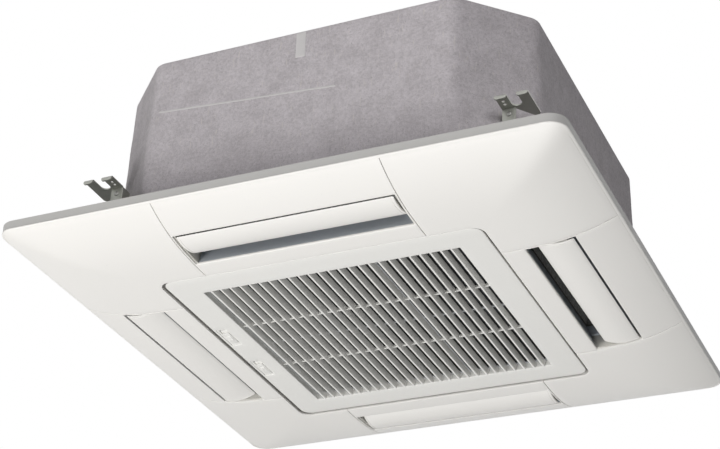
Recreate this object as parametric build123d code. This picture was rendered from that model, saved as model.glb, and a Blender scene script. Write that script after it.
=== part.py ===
"""Four-way ceiling cassette air conditioner, as separate pieces.

Frame: the origin is the middle of the ceiling plane, where the panel's rim meets the ceiling.
+Z points up, so the body stands above the ceiling plane and the panel hangs below it.
-Y is the front and +X the right. Millimetres.
"""
from build123d import *
import os
from math import atan2, cos, degrees, radians, sin, sqrt, tan

# ---- decoration panel -------------------------------------------------------------------
PANEL_HALF = 350.0        # the panel is 700 square
PANEL_CORNER = 22.0
RIM_HEIGHT, RIM_WALL = 12.0, 3.0
PILLOW_DEPTH = 24.5       # how far the face swells below the rim
PILLOW_REACH = 150.0      # the face is flat beyond this distance from the edge
PILLOW_STEPS = (24.0, 60.0, 100.0, PILLOW_REACH)
OVERHANG = 2.0            # how far the cutting shapes run past the panel's edge
SKIN = 2.5
FLOOR_TOP, FLOOR_THICK = -4.0, 2.0    # floors behind the corner covers
SEAM = 141.0              # seams between the side sections and the corner covers
SEAM_GAP = 0.6
COVER_EDGE = PANEL_HALF - RIM_WALL - 0.4
WALL = 1.6                # inner walls of the panel
BOX_TALL = 60.0           # tall enough to cut through the whole panel
CLIP_AT = ((168.0, 326.0), (326.0, 168.0))
CLIP_HALF = (3.0, 2.0)
CLIP_FIT = 0.6
SCREW_AT = 226.0          # screws between panel and body
SCREW_R, SCREW_HOLE_R, SCREW_BOSS_R = 2.5, 2.8, 8.0
SCREW_HEAD_R, SCREW_HEAD, SCREW_TOP = 5.0, 2.6, 10.0
SEAL_INSET = 10.0

# ---- outlet slots and louvres -----------------------------------------------------------
SLOT_IN, SLOT_OUT = 236.0, 296.0
SLOT_END = SEAM - WALL
DUCT_WALL, DUCT_CAP = 2.0, 1.8
DUCT_END = SLOT_END - 0.2
DUCT_TOP = -3.0
DUCT_BEND = -14.0         # the outer duct wall leans inwards above this height
DUCT_LEAN = 6.0
BODY_DUCT_IN, BODY_DUCT_OUT = 224.0, 264.0
PIVOT_OUT, PIVOT_Z = 276.0, -19.0
FLAP_OUTER, FLAP_LOW, FLAP_INNER = (292.8, -30.4), (270.0, -33.5), (247.0, -26.9)
FLAP_THICK, FLAP_EDGE = 3.4, 1.2      # at the middle and the ends of the crescent
FLAP_HALF = 135.5
EAR, EAR_R, EAR_WIDE = 2.0, 5.0, 9.0
EAR_ROOT = 2.4            # the ears' webs start this far above the flap's lowest line
PIN_R = 2.0
PIN_FIT = 0.05            # radial clearance of everything that turns
BUSH_R, BUSH_RIM, BUSH_OUT = 4.0, 2.0, 144.0
MOTOR_R, MOTOR_LONG = 10.0, 17.0
MOTOR_EAR = (16.0, 1.5, -1.0, 6.0)    # reach, thickness and the two heights from the pivot
MOTOR_BOX = (5.0, 14.0, 5.0, 12.0)    # start, end, half width and height of the plug

# ---- intake grille and filter -----------------------------------------------------------
OPENING_HALF, OPENING_CORNER = 207.5, 15.0
GRILLE_HALF, GRILLE_CORNER = 204.0, 13.0
GRILLE_Z, GRILLE_WALL_TOP = -34.7, -24.0
WELL_HALF, WELL_WALL, WELL_TOP = 166.5, 2.0, -26.3
BLADES, BLADE_PITCH = 25, 12.98
BLADE_LEAN = 0.2          # sideways run for each unit of height
BLADE_EDGE = 1.9
CROSSBAR_Y, CROSSBAR_Z, CROSSBAR_THICK = 59.0, -30.5, 2.0
HINGE_X, HINGE_Z, HINGE_Y = 194.0, -28.0, 150.0
KNUCKLE_HALF, KNUCKLE_R = 9.0, 4.0
LUG_R, LUG_THICK, LUG_GAP = 3.6, 3.5, 0.5
HINGE_NOTCH = 12.0        # how far the grille's wall is cut back round a hinge
LEDGE_IN, LEDGE_LONG, LEDGE_Z = 188.0, 170.0, (-12.0, -10.0)
FILTER_HALF, FILTER_BAR, FILTER_THICK = 172.0, 9.0, 4.0
FILTER_RIB = 1.5
MESH_THICK, MESH_LAP = 0.8, 2.0
LATCH_X, LATCH_Y = -193.2, (-46.5, 49.5)
POCKET = (14.5, 47.0, 0.9)
LATCH_SLOT = (10.0, 40.0)
KNOB = (9.4, 30.0)
KNOB_REST = 4.0           # the knob rests this far from the middle of its slot
KNOB_SINK = 0.3
GROOVE = (3.2, 0.4, 0.8)  # half length, half width and depth of a groove in the knob
LATCH_PLATE = (-7.0, 8.0, 20.0, 1.5)
TONGUE = (6.0, 4.0)
TONGUE_NOTCH = 13.0

# ---- body -------------------------------------------------------------------------------
BODY_TOP = 240.0
BODY_HALF = 279.3         # half width at the ceiling plane, over the felt
BODY_FLAT = 199.5         # half length of a flat side there
BODY_CORNER = 28.0
DRAFT = 0.0213
FELT, GLUE = 6.0, 0.3
STEEL = 1.2
FLANGE = 28.0
PLATE_Z = 236.0
RIB = STEEL + 2.2
DISH = (108.0, 120.0)     # the round rib of the top plate
FRAME_RIB = ((206.0, 50.0), (216.0, 60.0))
TOP_SCREW_ALONG = (-150, 0, 150)
LINER = 9.5
PAN_TOP, PAN_RECESS, RECESS_HALF = 43.0, 22.0, 205.0
CHANNEL_IN, CHANNEL_OUT, CHANNEL_Z = 180.0, 214.0, 28.0
COIL_IN, COIL_OUT = 183.0, 211.0
COIL_Z0, COIL_Z1 = 29.0, 228.0
COIL_CORNER = 55.0
COIL_CUT = 150.0          # the coil is open at the rear left corner beyond this
END_PLATE = 2.0
BEND_R, TUBE_R = 10.5, 3.5
BEND_ROWS, BEND_STEP, BEND_START = 7, 27.0, 18.0

# ---- fan --------------------------------------------------------------------------------
FAN_R, FAN_PLATE_Z, FAN_SKIN = 150.0, 188.0, 2.5
FAN_BLADES = 7
SHROUD_IN, SHROUD_Z0, SHROUD_Z1 = 108.0, 68.0, 94.0
BLADE_THICK = 2.6
BLADE_LINE = ((105, 0), (119, -48), (113, -101))    # root, middle and tip of a blade in plan
HUB_R, HUB_Z, BOSS_R = 60.0, 128.0, 16.0
CONE_R = 100.0
SHAFT_R = 4.0
FAN_NUT_R, FAN_NUT_Z, FAN_NUT_TALL = 8.0, 110.0, 8.0
MOTOR_BODY_R, MOTOR_Z0, MOTOR_Z1 = 46.0, 142.0, 222.0
FOOT_IN, FOOT_OUT, FOOT_HALF, FOOT_THICK = 30.0, 74.0, 9.0, 3.0
BUFFER_AT, BUFFER_R, BUFFER_GROOVE = 64.0, 9.0, 2.0
BELL_Z, BELL_R, THROAT_R, THROAT_Z = 20.0, 172.0, 100.0, 62.0
BELL_WALL, BELL_RIM, BELL_LIP = 2.0, 12.0, 10.0

# ---- hanger brackets --------------------------------------------------------------------
HANGER_Z = 88.5           # top of the slotted plate above the ceiling plane
HANGER_SHEET = 2.3
ROD_X, ROD_Y, ROD_SLOT_R = 267.0, 255.0, 6.2
PRONG_IN, PRONG_OUT, PRONG_TIP = 246.7, 286.0, 277.0
PRONG_BACK, PRONG_CORNER = 219.0, 8.0
LEG_Y, LEG_OUT = 247.3, 263.0
LIP, LIP_SHEET = 5.0, 2.0
NAIL_X, NAIL_Y, NAIL_R = 253.6, (255.7, 262.0), 2.0
BASE_LOW, BASE_TOP = 20.0, 58.0       # the base plate stays low, behind the panel's edge
BASE_SIDES = (-24.0, 40.0)
LEG_LOW, WEB_DEEP = 30.0, 12.0
RIVET_R, RIVET_HEAD, RIVET_DOME, RIVET_LONG = 1.8, 3.4, 1.5, 3.6
RIVET_SIDES, RIVET_Z = (-12, 28), 36.0
LEG_RIVET = (255.0, 79.0)

# ---- pipes, drain and electrics ---------------------------------------------------------
GAS_R, LIQUID_R = 6.35, 3.175
PIPE_SIDE, PIPE_Z, PIPE_END = 31.0, 165.0, 365.0
HEADER_AT = 267.0
GAS_NUT, LIQUID_NUT = 24.0, 17.0
GAS_THREAD, LIQUID_THREAD = 8.8, 5.1  # bores of the flare nuts, open at the outer end
NUT_BACK, NUT_OPEN = 11.0, 14.0       # a nut's reach back over the pipe and out past its end
COVER_HALF, COVER_TALL = 44.0, 20.0
DRAIN_SIDE, DRAIN_Z, DRAIN_R, DRAIN_BORE, DRAIN_END = -20.0, 208.0, 13.0, 10.0, 372.0
SOCKET_DEEP, SOCKET_RIM = 18.0, 4.0
HOSE_R, HOSE_BORE = 9.0, 6.5
PUMP_AT, PUMP_WELL = 283.0, 26.0
PUMP_R, PUMP_NECK_R, PUMP_FLANGE_R, PUMP_OUT_R = 19.0, 12.0, 23.0, 9.0
PUMP_Z = (34.0, 63.0, 128.0, 134.0, 150.0)    # neck, body, flange, outlet and its end
FLOAT_AT, FLOAT_R, FLOAT_Z = 245.0, 9.0, (46.0, 58.0, 96.0)
GLAND_X, GLAND_Z, GLAND_R, GLAND_BORE = 90.0, 70.0, 11.0, 6.0
GLAND_IN, GLAND_OUT, GLAND_RIM = 10.0, 24.0, 8.0
BOX_X, BOX_Y0, BOX_Y1, BOX_Z0, BOX_Z1 = 105.0, 112.0, 198.0, -8.0, 19.5
BOARD = (-70.0, 95.0, 8.0, 6.0, 1.6)  # two ends, margin, drop from the box and thickness
CHIPS = ((-50, 140, 18, 10), (-20, 170, 12, 14), (10, 135, 16, 12), (50, 165, 22, 9), (78, 135, 10, 14))
SPACER_AT = ((-64, 124), (88, 124), (-64, 186), (88, 186))
TERMINALS, TERMINAL_TALL, TERMINAL_PITCH = (-98.0, -80.0, 126.0, 186.0), 16.0, 10

CHAMFER = (BODY_HALF + BODY_FLAT) / sqrt(2)    # distance of the chamfer faces from the axis
SIDES = {"front": 0, "right": 1, "rear": 2, "left": 3}
CORNERS = {"front_right": (1, -1), "rear_right": (1, 1), "rear_left": (-1, 1), "front_left": (-1, -1)}


# ---- small helpers ----------------------------------------------------------------------
def block(x0, x1, y0, y1, z0, z1):
    """A box between two corners."""
    return Pos((x0 + x1) / 2, (y0 + y1) / 2, (z0 + z1) / 2) * Box(abs(x1 - x0), abs(y1 - y0), abs(z1 - z0))


def post(radius, z0, z1, x=0.0, y=0.0):
    """An upright cylinder."""
    return Pos(x, y, (z0 + z1) / 2) * Cylinder(radius, z1 - z0)


def rod_x(radius, x0, x1, y, z):
    """A cylinder along X."""
    return Pos((x0 + x1) / 2, y, z) * Rot(0, 90, 0) * Cylinder(radius, abs(x1 - x0))


def rod_y(radius, y0, y1, x, z):
    """A cylinder along Y."""
    return Pos(x, (y0 + y1) / 2, z) * Rot(90, 0, 0) * Cylinder(radius, abs(y1 - y0))


def square_prism(half, corner, z0, z1):
    """A square block with rounded upright edges."""
    return Pos(0, 0, z0) * extrude(RectangleRounded(2 * half, 2 * half, corner), z1 - z0)


def turned(shape, side):
    """Carry a piece made at the front to another side."""
    return Rot(0, 0, 90 * SIDES[side]) * shape


def cornered(shape, corner):
    """Carry a piece made at the front right corner to another corner, mirrored."""
    sx, sy = CORNERS[corner]
    if sx < 0:
        shape = shape.mirror(Plane.YZ)
    if sy > 0:
        shape = shape.mirror(Plane.XZ)
    return shape


def section_x(points, half):
    """A prism along X over a section given as (distance to the front, height)."""
    flat = Polygon(*[(-y, z) for y, z in points], align=None)
    return extrude(Plane.YZ * flat, half, both=True)


def hexagon_x(across, x0, x1):
    """A hexagonal bar along X on the X axis."""
    bar = extrude(RegularPolygon(across / sqrt(3), 6), x1 - x0)
    return Pos(x0, 0, 0) * Rot(0, 90, 0) * bar


def at_rear_left(shape, z=0.0, side=0.0):
    """Carry a piece made along +X out through the rear left chamfer."""
    return Rot(0, 0, 135) * Pos(0, side, z) * shape


# ---- panel ------------------------------------------------------------------------------
def panel_depth(t):
    """Height of the panel's face at a distance t from its edge."""
    rest = max(0.0, 1 - t / PILLOW_REACH)
    return -RIM_HEIGHT - PILLOW_DEPTH * (1 - rest ** 3)


def pillow(inset, lift):
    """The panel's solid shape, drawn in from the edge and raised for the hollow inside."""
    half = PANEL_HALF - inset
    left = [(-PANEL_HALF + t, panel_depth(t) + lift) for t in (-OVERHANG, *PILLOW_STEPS)]
    right = [(-x, z) for x, z in left]
    outline = Line(left[4], right[4])
    outline += Polyline(right[0], (right[0][0], lift), (left[0][0], lift), left[0])
    for edge in (left, right):
        outline += ThreePointArc(*edge[:3]) + ThreePointArc(*edge[2:])
    along_y = extrude(Plane.XZ * make_face(outline), PANEL_HALF + OVERHANG, both=True)
    plan = square_prism(half, PANEL_CORNER - inset, -BOX_TALL, BOX_TALL)
    return along_y & (Rot(0, 0, 90) * along_y) & plan


def corner_zone(inner, outer, z0, z1):
    """The square corner of the panel at the front right, less the grille opening."""
    zone = block(inner, PANEL_HALF, -PANEL_HALF, -inner, z0, z1)
    zone &= square_prism(outer, PANEL_CORNER - (PANEL_HALF - outer), z0, z1)
    return zone - square_prism(OPENING_HALF, OPENING_CORNER, z0, z1)


def clip_posts(grow):
    """The two clip posts of a corner cover at the front right, or their slots."""
    half_x, half_y = CLIP_HALF
    posts = Part()
    for x, y in CLIP_AT:
        posts += block(x - half_x - grow, x + half_x + grow, -y - half_y - grow, -y + half_y + grow,
                       panel_depth(PILLOW_STEPS[0]), FLOOR_TOP + 1)
    return posts


def corner_floor():
    """Floor behind the front right corner cover, with its clip slots and screw boss."""
    bottom = FLOOR_TOP - FLOOR_THICK
    floor = corner_zone(SEAM - WALL, PANEL_HALF - 1, bottom, FLOOR_TOP) - clip_posts(CLIP_FIT)
    floor += post(SCREW_BOSS_R, bottom, 0, SCREW_AT, -SCREW_AT)
    return floor - post(SCREW_HOLE_R, bottom, 0, SCREW_AT, -SCREW_AT)


def slot_wall(end):
    """Wall behind a seam of the front section, with the hole for the louvre's bearing."""
    wall = block(end * SLOT_END, end * SEAM, -PANEL_HALF + 1, -OPENING_HALF - 0.5, -BOX_TALL, FLOOR_TOP)
    return wall - rod_x(BUSH_R, end * SLOT_END, end * SEAM, -PIVOT_OUT, PIVOT_Z)


def panel_frame(outer, hollow):
    """Skin of the four side sections, with the collar, floors and walls behind it."""
    frame = outer - hollow
    extra = square_prism(OPENING_HALF + WALL, OPENING_CORNER + WALL, -BOX_TALL, FLOOR_TOP)
    covered = (outer - hollow) & corner_zone(SEAM, COVER_EDGE, -BOX_TALL, 0)
    for corner in CORNERS:
        frame -= cornered(corner_zone(SEAM, COVER_EDGE, -BOX_TALL, 1), corner)
        extra += cornered(corner_floor(), corner)
    for side in SIDES:
        extra += turned(slot_wall(-1) + slot_wall(1), side)
    for corner in CORNERS:
        extra -= cornered(covered, corner)
    frame += extra & outer
    frame -= square_prism(OPENING_HALF, OPENING_CORNER, -BOX_TALL, 1)
    for side in SIDES:
        frame -= turned(block(-SLOT_END, SLOT_END, -SLOT_OUT, -SLOT_IN, -BOX_TALL, DUCT_TOP), side)
    return frame + hinge_lugs()


def hinge_lugs():
    """A ledge at the right of the opening, with four lugs that hold the grille's hinge pins."""
    low, high = LEDGE_Z
    lugs = block(LEDGE_IN, OPENING_HALF + 0.5, -LEDGE_LONG, LEDGE_LONG, low, high)
    for middle in (-HINGE_Y, HINGE_Y):
        for end in (-1, 1):
            near = middle + end * (KNUCKLE_HALF + LUG_GAP)
            far = near + end * LUG_THICK
            lugs += rod_y(LUG_R, near, far, HINGE_X, HINGE_Z)
            lugs += block(HINGE_X - LUG_R, HINGE_X + LUG_R, near, far, HINGE_Z, low + 1)
            lugs -= rod_y(PIN_R, near, far, HINGE_X, HINGE_Z)
    return lugs


def hinge_pins():
    """Two pins, held by the lugs. The grille's knuckles turn on them."""
    reach = KNUCKLE_HALF + LUG_GAP + LUG_THICK
    return [rod_y(PIN_R, y - reach, y + reach, HINGE_X, HINGE_Z) for y in (-HINGE_Y, HINGE_Y)]


def corner_cover(outer, hollow):
    """Front right corner cover, a skin with two clip posts."""
    cover = (outer - hollow) & corner_zone(SEAM + SEAM_GAP, COVER_EDGE - SEAM_GAP, -BOX_TALL, 0)
    return cover + (clip_posts(0) & outer)


def panel_screw():
    """Front right screw that holds the panel to the body."""
    head = FLOOR_TOP - FLOOR_THICK
    low = head - SCREW_HEAD
    screw = post(SCREW_HEAD_R, low, head, SCREW_AT, -SCREW_AT)
    screw += post(SCREW_R, head, SCREW_TOP, SCREW_AT, -SCREW_AT)
    for long, wide in ((3.6, 0.5), (0.5, 3.6)):
        screw -= block(SCREW_AT - long, SCREW_AT + long, -SCREW_AT - wide, -SCREW_AT + wide, low, low + 1.2)
    return screw


def panel_seal():
    """Foam between the panel and the body: corner pieces, and strips along the outlets."""
    inner = OPENING_HALF + WALL + 2
    seal = Pos(0, 0, DUCT_TOP) * extrude(octagon(SEAL_INSET), -DUCT_TOP)
    seal -= square_prism(inner, OPENING_CORNER, DUCT_TOP, 0)
    for corner in CORNERS:
        seal -= cornered(post(SCREW_BOSS_R + GLUE, DUCT_TOP, 0, SCREW_AT, -SCREW_AT), corner)
    return strips(seal, DUCT_END - DUCT_CAP, ((inner, BODY_DUCT_IN), (BODY_DUCT_OUT, BODY_HALF)))


def outlet_duct(hollow):
    """Front duct: a funnel from the body's outlet to the panel's slot."""
    way = [(SLOT_IN, -BOX_TALL), (SLOT_OUT, -BOX_TALL), (SLOT_OUT, DUCT_BEND),
           (BODY_DUCT_OUT, DUCT_TOP), (BODY_DUCT_IN, DUCT_TOP), (SLOT_IN, GRILLE_Z)]
    shell = [(SLOT_IN - DUCT_WALL, -BOX_TALL), (SLOT_OUT + DUCT_WALL, -BOX_TALL),
             (SLOT_OUT + DUCT_WALL, DUCT_BEND + 1.4), (BODY_DUCT_OUT + DUCT_LEAN, DUCT_TOP),
             (BODY_DUCT_IN - DUCT_WALL, DUCT_TOP), (SLOT_IN - DUCT_WALL, GRILLE_Z)]
    duct = section_x(shell, DUCT_END) - section_x(way, DUCT_END - DUCT_CAP)
    duct -= rod_x(EAR_R + 1, -DUCT_END, DUCT_END, -PIVOT_OUT, PIVOT_Z)
    return duct & hollow


def louvre():
    """Front louvre: a crescent blade with an ear and a pivot pin at each end."""
    (xo, zo), (xl, zl), (xi, zi) = FLAP_OUTER, FLAP_LOW, FLAP_INNER
    top = (xl + 1, zl + FLAP_THICK)
    low = ThreePointArc((-xo, zo), (-xl, zl), (-xi, zi))
    high = ThreePointArc((-xi, zi + FLAP_EDGE), (-top[0], top[1]), (-xo, zo + FLAP_EDGE))
    ends = Line((-xi, zi), (-xi, zi + FLAP_EDGE)) + Line((-xo, zo + FLAP_EDGE), (-xo, zo))
    flap = extrude(Plane.YZ * make_face(low + high + ends), FLAP_HALF, both=True)
    root = zl + EAR_ROOT
    web = section_x([(PIVOT_OUT - EAR_WIDE, root), (PIVOT_OUT + EAR_WIDE, root),
                     (PIVOT_OUT + EAR_R - 0.4, PIVOT_Z), (PIVOT_OUT - EAR_R + 0.4, PIVOT_Z)], EAR / 2)
    for end in (-1, 1):
        inner, outer = end * (FLAP_HALF - EAR), end * FLAP_HALF
        flap += Pos((inner + outer) / 2, 0, 0) * web
        flap += rod_x(EAR_R, inner, outer, -PIVOT_OUT, PIVOT_Z)
        flap += rod_x(PIN_R, outer, end * (BUSH_OUT - 0.5), -PIVOT_OUT, PIVOT_Z)
    return flap


def louvre_bush():
    """Plain bearing at the left end of the front louvre."""
    bush = rod_x(BUSH_R, -BUSH_OUT, -SLOT_END, -PIVOT_OUT, PIVOT_Z)
    bush += rod_x(BUSH_R + BUSH_RIM, -BUSH_OUT, -SEAM, -PIVOT_OUT, PIVOT_Z)
    return bush - rod_x(PIN_R + PIN_FIT, -BUSH_OUT, -SLOT_END, -PIVOT_OUT, PIVOT_Z)


def louvre_motor():
    """Stepper motor at the right end of the front louvre. Its socket takes the louvre's pin."""
    motor = rod_x(MOTOR_R, SEAM, SEAM + MOTOR_LONG, -PIVOT_OUT, PIVOT_Z)
    motor += rod_x(BUSH_R, SLOT_END, SEAM, -PIVOT_OUT, PIVOT_Z)
    reach, thick, low, high = MOTOR_EAR
    motor += block(SEAM, SEAM + thick, -PIVOT_OUT - reach, -PIVOT_OUT + reach, PIVOT_Z + low, PIVOT_Z + high)
    near, far, half, tall = MOTOR_BOX
    motor += block(SEAM + near, SEAM + far, -PIVOT_OUT - half, -PIVOT_OUT + half, PIVOT_Z, PIVOT_Z + tall)
    return motor - rod_x(PIN_R + PIN_FIT, SLOT_END, BUSH_OUT, -PIVOT_OUT, PIVOT_Z)


# ---- grille -----------------------------------------------------------------------------
def grille_blades():
    """Blades that lean a little towards the hinges, and two crossbars above their edges."""
    tall = WELL_TOP - GRILLE_Z
    run = tall * BLADE_LEAN
    leaf = Polygon((0, 0), (BLADE_EDGE, 0), (BLADE_EDGE + run, tall), (run, tall), align=None)
    blade = extrude(Plane.XZ * leaf, WELL_HALF + 1, both=True)
    blades = Part()
    first = -(BLADES - 1) / 2 * BLADE_PITCH - BLADE_EDGE / 2
    for i in range(BLADES):
        blades += Pos(first + i * BLADE_PITCH, 0, GRILLE_Z) * blade
    for y in (-CROSSBAR_Y, CROSSBAR_Y):
        half = CROSSBAR_THICK / 2
        blades += block(-WELL_HALF - 1, WELL_HALF + 1, y - half, y + half, CROSSBAR_Z, WELL_TOP)
    well = block(-WELL_HALF - 1, WELL_HALF + 1, -WELL_HALF - 1, WELL_HALF + 1, GRILLE_Z, WELL_TOP)
    return blades & well


def hinge_knuckles(grille):
    """Cut the grille's wall back round its hinges and add the two knuckles."""
    reach = KNUCKLE_HALF + LUG_GAP + LUG_THICK + 3
    for middle in (-HINGE_Y, HINGE_Y):
        near, far = middle - KNUCKLE_HALF, middle + KNUCKLE_HALF
        grille -= block(GRILLE_HALF - HINGE_NOTCH, GRILLE_HALF + 1, middle - reach, middle + reach,
                        GRILLE_Z + SKIN, GRILLE_WALL_TOP)
        grille += rod_y(KNUCKLE_R, near, far, HINGE_X, HINGE_Z)
        grille += block(HINGE_X - KNUCKLE_R, HINGE_X + KNUCKLE_R, near, far, GRILLE_Z + 1, HINGE_Z)
        grille -= rod_y(PIN_R + PIN_FIT, near, far, HINGE_X, HINGE_Z)
    return grille


def around_latch(wide, long, y, z0, z1):
    """A block centred on a latch in plan."""
    return block(LATCH_X - wide / 2, LATCH_X + wide / 2, y - long / 2, y + long / 2, z0, z1)


def intake_grille():
    """Frame with a raised wall, a well full of blades, hinge knuckles and latch pockets."""
    top = GRILLE_Z + SKIN
    outside = WELL_HALF + WELL_WALL
    wide, long, deep = POCKET
    grille = square_prism(GRILLE_HALF, GRILLE_CORNER, GRILLE_Z, GRILLE_WALL_TOP)
    grille -= square_prism(GRILLE_HALF - SKIN, GRILLE_CORNER - SKIN, top, GRILLE_WALL_TOP)
    grille += block(-outside, outside, -outside, outside, GRILLE_Z, WELL_TOP)
    grille -= block(-WELL_HALF, WELL_HALF, -WELL_HALF, WELL_HALF, GRILLE_Z, WELL_TOP)
    grille = hinge_knuckles(grille + grille_blades())
    for y in LATCH_Y:
        grille -= around_latch(wide, long, y, GRILLE_Z, GRILLE_Z + deep)
        grille -= around_latch(*LATCH_SLOT, y, GRILLE_Z, top)
        grille -= block(-GRILLE_HALF, -GRILLE_HALF + SKIN, y - TONGUE_NOTCH, y + TONGUE_NOTCH,
                        top, GRILLE_WALL_TOP)
    return grille


def grille_latch(y):
    """Sliding latch: a knob in the pocket, a plate behind it and a tongue at the edge."""
    back = GRILLE_Z + SKIN + PIN_FIT
    middle = y + KNOB_REST
    latch = around_latch(*KNOB, middle, GRILLE_Z + KNOB_SINK, back + 1)
    half_long, half_wide, deep = GROOVE
    for step in range(-4, 5, 2):
        latch -= around_latch(2 * half_long, 2 * half_wide, middle + step, GRILLE_Z, GRILLE_Z + deep)
    left, right, half, thick = LATCH_PLATE
    latch += block(LATCH_X + left, LATCH_X + right, middle - half, middle + half, back, back + thick)
    half, tall = TONGUE
    return latch + block(-GRILLE_HALF + 0.4, LATCH_X, middle - half, middle + half, back, back + tall)


def filter_frame():
    """Frame and ribs of the air filter, with a groove for the mesh."""
    z0, z1 = WELL_TOP, WELL_TOP + FILTER_THICK
    inner = FILTER_HALF - FILTER_BAR
    frame = square_prism(FILTER_HALF, 6, z0, z1) - square_prism(inner, 3, z0, z1)
    for x in (-inner / 3, inner / 3):
        frame += block(x - FILTER_RIB, x + FILTER_RIB, -inner - 1, inner + 1, z0, z1)
    frame += block(-inner - 1, inner + 1, -FILTER_RIB, FILTER_RIB, z0, z1)
    return frame - mesh_sheet((z0 + z1) / 2)


def mesh_sheet(middle):
    """The filter's mesh as a thin sheet at a height."""
    half = FILTER_HALF - FILTER_BAR + MESH_LAP
    return square_prism(half, 3, middle - MESH_THICK / 2, middle + MESH_THICK / 2)


# ---- body shells ------------------------------------------------------------------------
def octagon(inset):
    """Plan of the body at the ceiling plane, drawn in from the outside of the felt."""
    b = BODY_HALF - inset
    c = BODY_FLAT - inset * tan(radians(22.5))
    corners = [(b, -c), (b, c), (c, b), (-c, b), (-b, c), (-b, -c), (-c, -b), (c, -b)]
    plan = Polygon(*corners, align=None)
    return fillet(plan.vertices(), max(BODY_CORNER - inset, 4))


def drafted(inset, z0, z1):
    """The body's drafted octagon between two heights."""
    low = Pos(0, 0, z0) * octagon(inset + DRAFT * z0)
    high = Pos(0, 0, z1) * octagon(inset + DRAFT * z1)
    return loft([low, high], ruled=True)


def eighths(shell):
    """The four flat walls and four chamfer walls of a shell, parted at the octagon's corners."""
    turn, far = degrees(atan2(BODY_FLAT, BODY_HALF)), 3 * BODY_HALF
    walls = []
    for quarter in (0, 90, 180, 270):
        for start, end in ((quarter - turn, quarter + turn), (quarter + turn, quarter + 90 - turn)):
            rays = [(far * cos(radians(a)), far * sin(radians(a))) for a in (start, end)]
            walls.append(shell & extrude(Polygon((0, 0), *rays, align=None), BODY_TOP))
    return walls


def strips(sheet, half, bands):
    """The four corner pieces of a flat sheet, and its strips along each side."""
    corner_block = block(half, BODY_HALF, -BODY_HALF, -half, -BOX_TALL, BOX_TALL)
    pieces = [sheet & cornered(corner_block, corner) for corner in CORNERS]
    for near, far in bands:
        strip = block(-half, half, -far, -near, -BOX_TALL, BOX_TALL)
        pieces += [sheet & turned(strip, side) for side in SIDES]
    return pieces


def outer_insulation():
    """Felt pads round the cabinet, cut out for the brackets, the pipe cover and the gland."""
    low, high = BASE_SIDES
    felt = drafted(0, 0, BODY_TOP) - drafted(FELT, 0, BODY_TOP)
    notch = Rot(0, 0, -45) * block(CHAMFER - 15, CHAMFER + 5, low - 2, high + 2, BASE_LOW - 2, BASE_TOP + 1)
    for corner in CORNERS:
        felt -= cornered(notch, corner)
    reach = COVER_TALL + 2
    felt -= at_rear_left(block(CHAMFER - 20, CHAMFER + 5, -COVER_HALF - 2, COVER_HALF + 2,
                               PIPE_Z - reach, DRAIN_Z + reach))
    return eighths(felt - rod_y(GLAND_R + GLAND_RIM, BODY_HALF - 15, BODY_HALF + 5, GLAND_X, GLAND_Z))


def service_holes():
    """Openings through cabinet, liner and cover plate for the pipes, drain and cable."""
    reach = (CHAMFER - 60, CHAMFER + 20)
    holes = at_rear_left(rod_x(GAS_R + 1.5, *reach, 0, 0), PIPE_Z, PIPE_SIDE)
    holes += at_rear_left(rod_x(LIQUID_R + 1.5, *reach, 0, 0), PIPE_Z, -PIPE_SIDE)
    holes += at_rear_left(rod_x(DRAIN_R + 0.5, *reach, 0, 0), DRAIN_Z, DRAIN_SIDE)
    return holes + rod_y(GLAND_R, BODY_HALF - 40, BODY_HALF + 10, GLAND_X, GLAND_Z)


def cabinet():
    """Eight drafted steel walls, and a flange at the bottom in strips and corner pieces."""
    out = FELT + GLUE
    walls = drafted(out, 0, PLATE_Z) - drafted(out + STEEL, 0, PLATE_Z) - service_holes()
    flange = extrude(octagon(out + STEEL) - octagon(out + STEEL + FLANGE), STEEL)
    for corner in CORNERS:
        walls -= cornered(bracket_shanks(), corner)
        flange -= cornered(post(SCREW_HOLE_R, 0, STEEL, SCREW_AT, -SCREW_AT), corner)
    return eighths(walls) + strips(flange, DUCT_END, ((BODY_DUCT_OUT - 2, BODY_HALF),))


def top_plate():
    """Steel plate with a round rib, a square rib and eight spokes pressed up in it."""
    plate = Pos(0, 0, PLATE_Z) * extrude(octagon(FELT + GLUE + DRAFT * PLATE_Z), STEEL)
    high = PLATE_Z + RIB
    inner, outer = DISH
    plate += post(outer, PLATE_Z, high) - post(inner, PLATE_Z, high)
    small, large = FRAME_RIB
    plate += square_prism(*large, PLATE_Z, high) - square_prism(*small, PLATE_Z, high)
    spoke = block(outer - 6, small[0] + 4, -5, 5, PLATE_Z, high)
    for turn in range(8):
        plate += Rot(0, 0, 45 * turn) * spoke
    return plate


def top_screws():
    """Screws round the top plate's edge."""
    reach = BODY_HALF - FELT - GLUE - DRAFT * PLATE_Z - 9
    low = PLATE_Z + STEEL
    high = low + 2.4
    screws = []
    for side in SIDES:
        for along in TOP_SCREW_ALONG:
            screw = post(4, low, high, along, -reach) - post(1.5, low + 1.2, high, along, -reach)
            screws.append(turned(screw, side))
    return screws


def side_liner():
    """Foam pads between the cabinet and the coil's air space."""
    out = FELT + 2 * GLUE + STEEL
    liner = drafted(out, PAN_TOP, PLATE_Z) - drafted(out + LINER, PAN_TOP, PLATE_Z)
    return eighths(liner - service_holes())


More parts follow.
